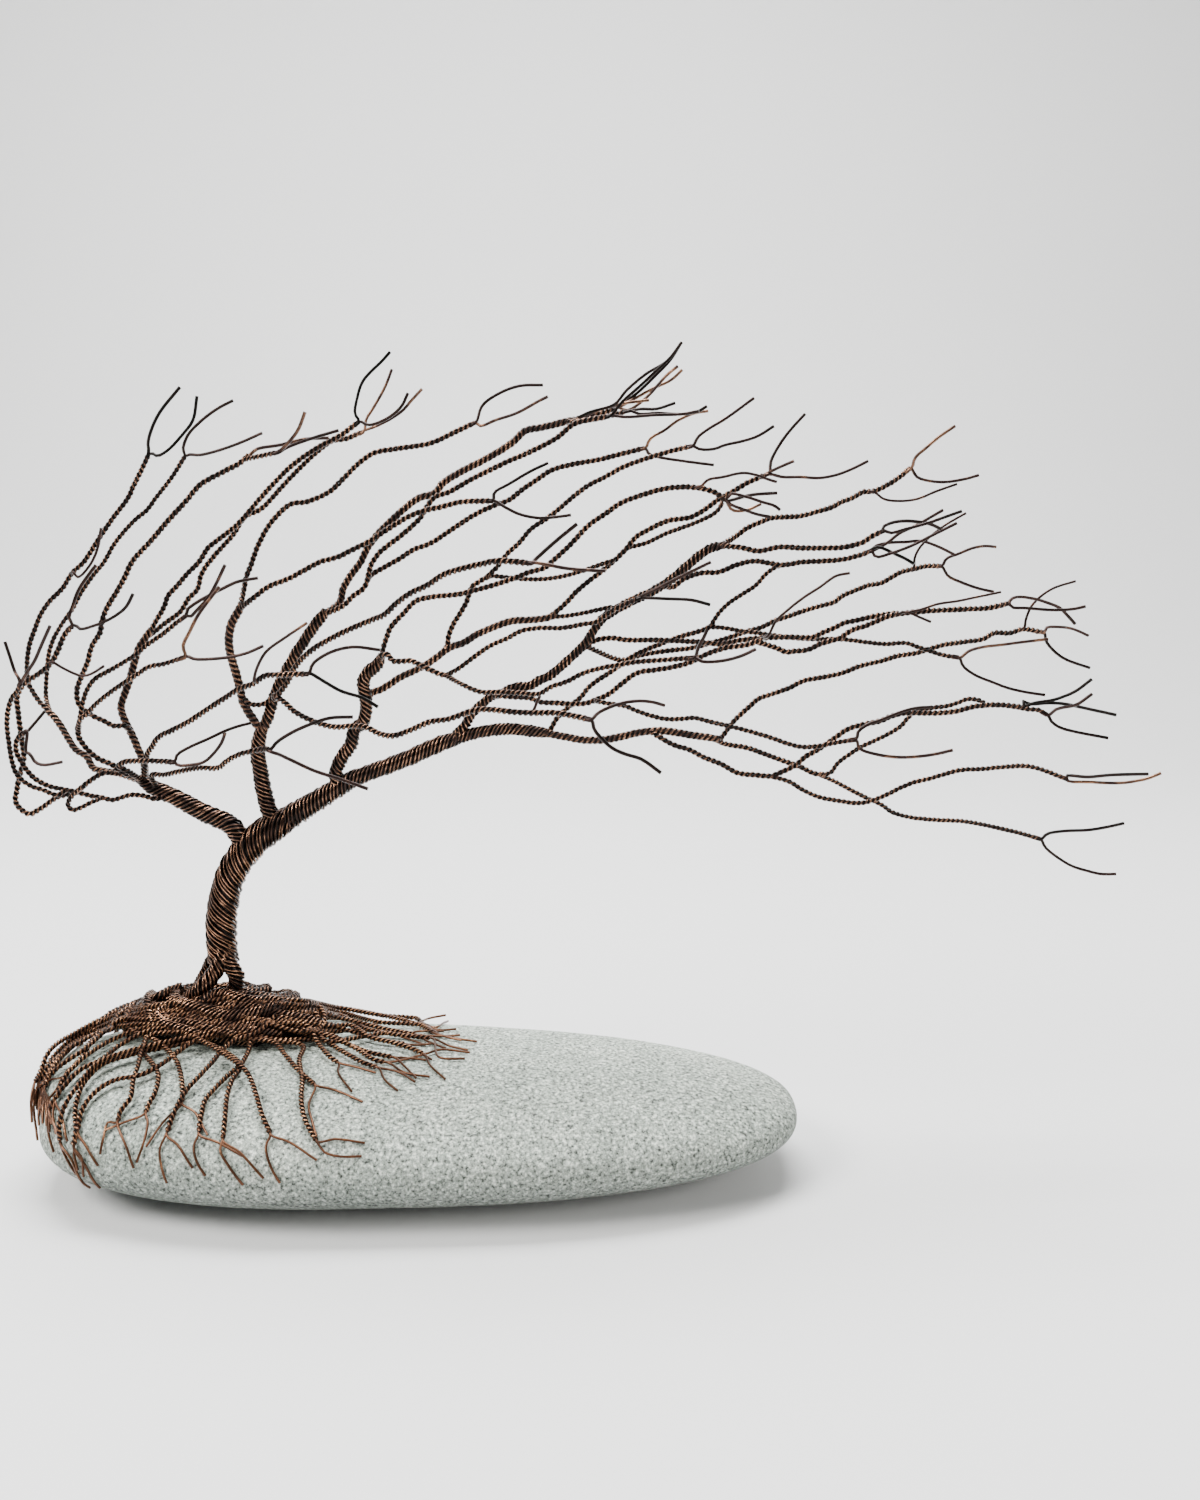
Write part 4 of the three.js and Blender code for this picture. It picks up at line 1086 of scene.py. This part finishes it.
limb("middle_fork_limb", 500, [
    ("right fork", "middle", 18, (0, 0),
     [(268, 718), (272, 704), (275, 695), (280, 683), (288, 668), (297, 652), (303, 643),
      (311, 631), (326, 611)]),
    ("upper", "right fork", 8, (2, 12),
     [(340, 602), (343, 589), (351, 575), (360, 563), (368, 547), (378, 534), (392, 520),
      (404, 509), (419, 498), (435, 493), (442, 484), (457, 474), (482, 461), (498, 452),
      (513, 442), (525, 431), (544, 427), (572, 420)],
     [[(589, 414), (605, 408), (626, 403), (650, 400)],
      [(590, 412), (615, 404), (626, 391), (646, 374), (667, 361), (682, 342)]]),
    ("upper end", "upper", 4, (13, 15), [(580, 418), (599, 414), (613, 409)],
     [[(617, 408), (636, 394), (656, 375), (671, 359), (681, 343)],
      [(628, 410), (646, 398), (658, 385), (667, 375), (678, 366)],
      [(634, 399), (652, 389), (671, 380), (682, 370)]]),
    ("lower end", "upper", 3, (10, 9), [(574, 422), (605, 417), (624, 412)],
     [[(640, 409), (656, 409), (675, 403)],
      [(640, 414), (656, 413), (683, 414), (699, 411), (707, 406)]]),
    ("lower", "right fork", 4, (-2, 3),
     [(343, 606), (353, 596), (363, 589), (367, 581), (371, 565), (380, 552), (386, 547),
      (403, 534), (420, 518), (428, 505), (435, 497), (449, 492), (472, 479), (492, 469),
      (511, 460), (523, 455), (544, 445), (558, 437), (574, 424), (605, 417)],
     [[(622, 402), (640, 386), (656, 371), (667, 361)],
      [(625, 417), (656, 415), (683, 414), (699, 411)]]),
    ("under", "lower", 4, (3, 9),
     [(371, 575), (383, 568), (399, 559), (413, 550), (431, 543), (451, 530), (476, 514),
      (498, 504), (509, 500), (523, 489), (535, 481), (552, 470), (574, 464), (597, 460),
      (617, 455), (641, 449)],
     [[(650, 439), (665, 430), (677, 421), (695, 413), (708, 411)],
      [(649, 454), (658, 457), (683, 461), (714, 465)]]),
    ("near", "right fork", 4, (-6, -35),
     [(276, 697), (286, 685), (295, 668), (303, 658), (315, 648), (334, 637), (353, 628),
      (372, 620), (384, 615), (397, 603), (411, 593), (428, 585), (443, 575), (461, 569),
      (482, 564), (498, 561), (528, 563)],
     [[(533, 562), (556, 541), (577, 524)], [(544, 564), (564, 568), (585, 570), (607, 571)]]),
    ("near low", "right fork", 4, (-6, -34),
     [(276, 697), (284, 702), (295, 712), (315, 722), (334, 727), (353, 726), (365, 727),
      (380, 734), (393, 736), (411, 730), (430, 722), (449, 719), (476, 710), (494, 710),
      (512, 712), (533, 713), (555, 713), (573, 716), (587, 719)],
     [[(598, 713), (619, 704), (637, 701), (652, 702), (666, 706)],
      [(594, 729), (602, 739), (612, 748), (625, 754), (641, 759), (661, 773)]]),
    ("near spur", "near low", 1, (-26, -28), [(532, 712), (537, 702), (540, 696)]),
])


# The right limb: the longest, 34 wires stretched out over the pebble, from which three branches
# rise one after another. Beyond them it thins to cords that run out to the right.
limb("right_limb", 600, [
    ("right", "trunk", 34, (0, 0),
     [(318, 800), (338, 788), (353, 779), (380, 769), (411, 757), (440, 744), (458, 738)]),
    ("right on", "right", 20, (0, 0), [(476, 733), (494, 730), (512, 729), (530, 731), (548, 733)]),
    ("right out", "right on", 9, (0, 0),
     [(566, 737), (584, 740), (602, 740), (620, 737), (637, 733), (652, 731), (665, 731),
      (691, 735), (719, 739)]),
    ("ninth", "right out", 4, (4, 18),
     [(720, 739), (727, 730), (733, 722), (741, 714), (750, 706), (758, 699), (772, 694),
      (789, 688), (803, 681), (824, 677), (842, 673), (860, 666), (881, 661), (897, 656),
      (916, 653), (943, 645), (963, 642), (983, 639), (994, 633), (1010, 633), (1023, 629),
      (1041, 632)],
     [[(1046, 628), (1060, 627), (1073, 629), (1089, 636)],
      [(1046, 641), (1054, 651), (1065, 659), (1090, 668)]]),
    ("ninth side", "ninth", 1, (17, 17),
     [(1024, 628), (1026, 619), (1031, 607), (1040, 597), (1054, 588), (1076, 581)]),
    ("tenth", "right out", 4, (-1, -4),
     [(656, 735), (674, 745), (690, 750), (703, 757), (721, 764), (738, 773), (755, 775),
      (777, 777)]),
    ("tenth high", "tenth", 4, (-4, -3),
     [(786, 770), (796, 765), (805, 757), (819, 749), (832, 740), (848, 729), (861, 725),
      (880, 721), (892, 716), (905, 713), (920, 713), (938, 713), (957, 711), (972, 707),
      (988, 705), (1003, 705), (1020, 707)],
     [[(1023, 701), (1029, 704), (1049, 703), (1065, 704), (1084, 708), (1116, 715)],
      [(1034, 703), (1053, 700), (1065, 696), (1076, 691), (1092, 679)]]),
    ("tenth end", "tenth high", 2, (-3, -4), [(1026, 709), (1038, 710), (1044, 713)],
     [[(1057, 709), (1072, 706), (1078, 704), (1092, 694)],
      [(1051, 721), (1059, 727), (1072, 731), (1108, 738)]]),
    ("tenth out", "tenth", 2, (-5, -7),
     [(790, 782), (803, 790), (819, 797), (840, 801), (855, 803), (867, 802), (886, 795),
      (900, 788), (915, 782), (928, 779), (945, 774), (961, 770), (982, 769), (1003, 767),
      (1026, 766), (1040, 769), (1064, 778)],
     [[(1066, 776), (1088, 777), (1111, 775), (1148, 774)],
      [(1068, 781), (1088, 782), (1120, 783), (1136, 781), (1149, 778), (1161, 773)]]),
    ("eleventh", "right out", 4, (2, 4),
     [(726, 744), (748, 748), (765, 754), (784, 761), (801, 767), (813, 773), (825, 775)]),
    ("eleventh high", "eleventh", 2, (4, 2),
     [(830, 773), (838, 763), (850, 754), (861, 747), (876, 740), (890, 733), (901, 726),
      (907, 719), (915, 712), (930, 708), (947, 706), (957, 703), (968, 699), (978, 700),
      (984, 703)]),
    ("eleventh out", "eleventh", 2, (5, 6),
     [(834, 781), (851, 790), (867, 798), (882, 805), (892, 812), (909, 817), (925, 819),
      (938, 820), (961, 821), (980, 824), (1003, 829), (1020, 833), (1037, 838)],
     [[(1047, 834), (1065, 831), (1088, 830), (1107, 827), (1125, 823)],
      [(1045, 847), (1057, 857), (1072, 866), (1088, 871), (1101, 874), (1116, 874)]]),
])
limb("right_upper_limb", 700, [
    ("first", "right", 22, (0, -4),
     [(336, 772), (343, 756), (351, 745), (355, 729), (363, 723), (366, 712), (366, 698),
      (363, 683), (368, 673), (378, 664), (382, 654)]),
    ("first high", "first", 4, (-2, 0),
     [(386, 639), (391, 627), (403, 614), (416, 601), (432, 597), (460, 594), (476, 590),
      (494, 585), (512, 579), (530, 572), (544, 568), (556, 558), (570, 545), (589, 525),
      (605, 514), (621, 503), (642, 495), (663, 489), (683, 487), (699, 488), (714, 492),
      (723, 498)],
     [[(732, 505), (745, 510), (756, 514), (771, 517)],
      [(730, 494), (747, 497), (762, 502), (775, 506), (781, 511)],
      [(732, 500), (751, 495), (777, 493)]]),
    ("first side", "first high", 1, (-1, -2),
     [(700, 487), (708, 480), (723, 477), (743, 473), (756, 475), (767, 479), (777, 482)]),
    ("first low", "first", 4, (-6, -12),
     [(382, 655), (388, 655), (393, 661), (411, 661), (418, 664), (430, 670), (443, 675),
      (451, 676)]),
    ("low twig", "first low", 2, (-13, -16),
     [(458, 669), (470, 660), (490, 646), (508, 638), (521, 631), (540, 628), (562, 628),
      (584, 624), (596, 622), (607, 614), (619, 607), (637, 599)],
     [[(646, 598), (673, 599), (691, 600), (711, 605)], [(658, 588), (680, 577), (711, 562)]]),
    ("low drop", "first low", 2, (-15, -28),
     [(463, 685), (481, 692), (499, 692), (521, 693), (539, 694), (551, 687), (566, 682),
      (584, 673), (602, 668), (619, 665), (637, 662), (664, 660), (690, 658)],
     [[(698, 648), (704, 637), (707, 630)], [(700, 661), (721, 661), (741, 656), (756, 649)]]),
    ("first middle", "first", 8, (-1, 4),
     [(370, 694), (382, 689), (401, 677), (420, 668), (436, 658), (449, 648), (463, 643),
      (476, 635), (494, 627), (512, 621), (530, 620), (547, 618), (555, 615)]),
    ("middle high", "first middle", 4, (4, 4),
     [(566, 603), (576, 592), (589, 581), (602, 571), (615, 560), (626, 549), (636, 537),
      (646, 531), (667, 521), (691, 517), (704, 510), (719, 499), (732, 492), (747, 483),
      (765, 475)],
     [[(771, 461), (782, 441), (793, 427), (805, 414)],
      [(780, 467), (794, 461)],
      [(782, 477), (800, 477), (819, 478), (836, 475), (852, 469), (868, 461)]]),
    ("middle twin", "middle high", 2, (5, 8),
     [(628, 548), (646, 543), (667, 533), (681, 528), (697, 522), (716, 512), (723, 502)],
     [[(732, 510), (747, 510), (761, 504)]]),
    ("middle bridge", "first middle", 2, (4, 2), [(566, 616), (584, 613), (602, 609), (612, 607)]),
    ("upright", "first middle", 4, (2, 1),
     [(447, 646), (449, 635), (454, 623), (461, 612), (467, 601), (469, 594), (472, 587),
      (482, 580), (492, 575)]),
    ("upright high", "upright", 3, (0, 1),
     [(498, 566), (507, 554), (519, 543), (531, 529), (546, 519), (560, 508), (574, 496),
      (589, 485), (605, 477), (621, 468), (636, 462), (654, 456), (675, 450), (688, 447)],
     [[(698, 437), (710, 428), (725, 419), (754, 398)],
      [(699, 449), (714, 449), (725, 445), (743, 441), (758, 436), (774, 426)]]),
    ("upright low", "upright", 2, (2, 3),
     [(492, 576), (503, 577), (523, 579), (544, 579), (564, 576), (585, 570), (605, 563),
      (615, 560)]),
])
limb("right_middle_limb", 800, [
    ("second", "right", 13, (0, 0),
     [(465, 725), (472, 714), (481, 705), (492, 696), (503, 693), (515, 687), (530, 686),
      (540, 680), (551, 675), (566, 662), (576, 653), (587, 641), (594, 630), (602, 619),
      (612, 612), (628, 603), (643, 596), (655, 590), (673, 578), (688, 565), (704, 552),
      (714, 547), (727, 545)]),
    ("second back", "second", 4, (3, 14),
     [(736, 536), (747, 528), (758, 523), (771, 518), (784, 517), (800, 516), (819, 511),
      (832, 507), (841, 502), (852, 498), (863, 492), (874, 491), (887, 485), (898, 478),
      (908, 470)],
     [[(915, 458), (926, 448), (939, 437), (955, 426)],
      [(917, 477), (930, 481), (945, 482), (965, 479), (979, 475)]]),
    ("back side", "second back", 1, (11, 11),
     [(874, 492), (884, 499), (900, 501), (917, 499), (937, 491), (957, 484)]),
    ("second front", "second", 4, (-2, -4),
     [(743, 548), (758, 551), (780, 547), (802, 548), (823, 548), (845, 547), (863, 542),
      (874, 535), (881, 532)],
     [[(882, 528), (891, 523), (904, 521), (919, 522), (930, 524), (941, 529)],
      [(889, 533), (906, 529), (928, 523), (945, 517), (962, 511)]]),
    ("second middle", "second", 4, (2, 6),
     [(673, 587), (684, 579), (701, 573), (719, 572), (736, 565), (754, 561), (769, 563),
      (782, 565), (802, 562), (823, 561), (845, 559), (863, 554), (868, 552)],
     [[(874, 547), (887, 543), (906, 542), (921, 541), (939, 547), (955, 555)],
      [(876, 557), (889, 554), (911, 546), (935, 534), (957, 523)],
      [(887, 543), (900, 533), (915, 526), (943, 510)],
      [(878, 547), (895, 554), (906, 559), (914, 564)]]),
    ("sixth", "second", 4, (1, 2),
     [(576, 653), (584, 648), (594, 641), (610, 638), (628, 640), (655, 640), (680, 641),
      (700, 642), (721, 644), (741, 640), (762, 638), (790, 637), (813, 637), (824, 632),
      (834, 628), (844, 623), (858, 620), (875, 616), (898, 613)]),
    ("sixth side", "sixth", 1, (-2, -6),
     [(768, 636), (776, 621), (789, 609), (803, 598), (820, 587), (836, 576), (850, 573)]),
    ("back", "second", 4, (6, 22),
     [(623, 660), (637, 656), (652, 653), (673, 650), (691, 648), (721, 640), (748, 631),
      (762, 627), (774, 621), (789, 616), (803, 611), (820, 606), (834, 602), (842, 596),
      (856, 590), (869, 585), (881, 583), (901, 572), (914, 569), (926, 566), (938, 566)],
     [[(946, 559), (958, 554), (973, 548), (985, 546), (996, 547)],
      [(948, 576), (958, 581), (977, 588), (994, 592)]]),
    ("back twig", "back", 1, (20, 20),
     [(913, 569), (915, 557), (921, 546), (941, 528), (966, 513)]),
])
limb("right_low_limb", 850, [
    ("fourth", "second", 4, (-2, -6),
     [(500, 696), (515, 697), (530, 698), (540, 702), (557, 703), (573, 704), (587, 703),
      (598, 699), (609, 694), (619, 686), (637, 673), (655, 670), (673, 667), (691, 662),
      (707, 654), (725, 648), (746, 645), (762, 640)]),
    ("fourth out", "fourth", 4, (-5, 0),
     [(774, 647), (787, 652), (795, 651), (807, 650), (820, 644), (830, 641), (840, 638),
      (852, 630), (865, 626), (877, 621), (889, 616), (906, 613), (926, 611), (947, 610),
      (967, 609), (988, 608), (1006, 604)],
     [[(1010, 600), (1017, 597), (1035, 599), (1048, 603), (1060, 608), (1067, 615), (1075, 624)],
      [(1011, 607), (1025, 608), (1054, 610), (1073, 609), (1087, 606)]]),
    ("fourth side", "fourth out", 1, (-2, -2),
     [(902, 613), (919, 610), (938, 604), (958, 601), (977, 597), (1001, 592)]),
    ("fourth spur", "fourth out", 1, (-3, -4), [(907, 612), (919, 617), (931, 622)]),
    ("fifth", "fourth", 2, (-7, -12),
     [(600, 702), (612, 704), (625, 706), (637, 711), (652, 716), (666, 719), (680, 719),
      (695, 718), (711, 722), (733, 727), (752, 732), (772, 738), (789, 744), (803, 747),
      (819, 746), (834, 743), (852, 740)],
     [[(858, 732), (869, 724), (881, 720), (901, 712), (916, 708), (932, 707)],
      [(859, 748), (875, 754), (895, 757), (912, 757), (936, 754), (953, 750)]]),
])
limb("right_back_limb", 900, [
    ("third", "right on", 4, (3, 8),
     [(548, 732), (552, 727), (555, 721), (562, 713), (571, 705), (580, 698), (589, 687),
      (598, 680), (609, 673), (619, 666), (630, 658), (643, 651), (655, 646), (668, 641),
      (682, 636), (700, 631), (715, 625)]),
    ("third high", "third", 2, (8, 7),
     [(719, 613), (729, 603), (741, 595), (756, 585), (766, 574), (776, 567), (787, 564)]),
    ("third out", "third", 2, (7, 6),
     [(725, 628), (741, 631), (758, 633), (772, 635), (793, 638), (813, 639), (834, 639),
      (850, 640), (865, 642), (885, 644), (906, 643), (918, 647), (930, 651), (943, 655),
      (955, 657)],
     [[(969, 651), (983, 647), (1000, 645), (1023, 642), (1049, 639)],
      [(963, 666), (975, 675), (992, 682), (1008, 688), (1025, 692), (1045, 695)]]),
])
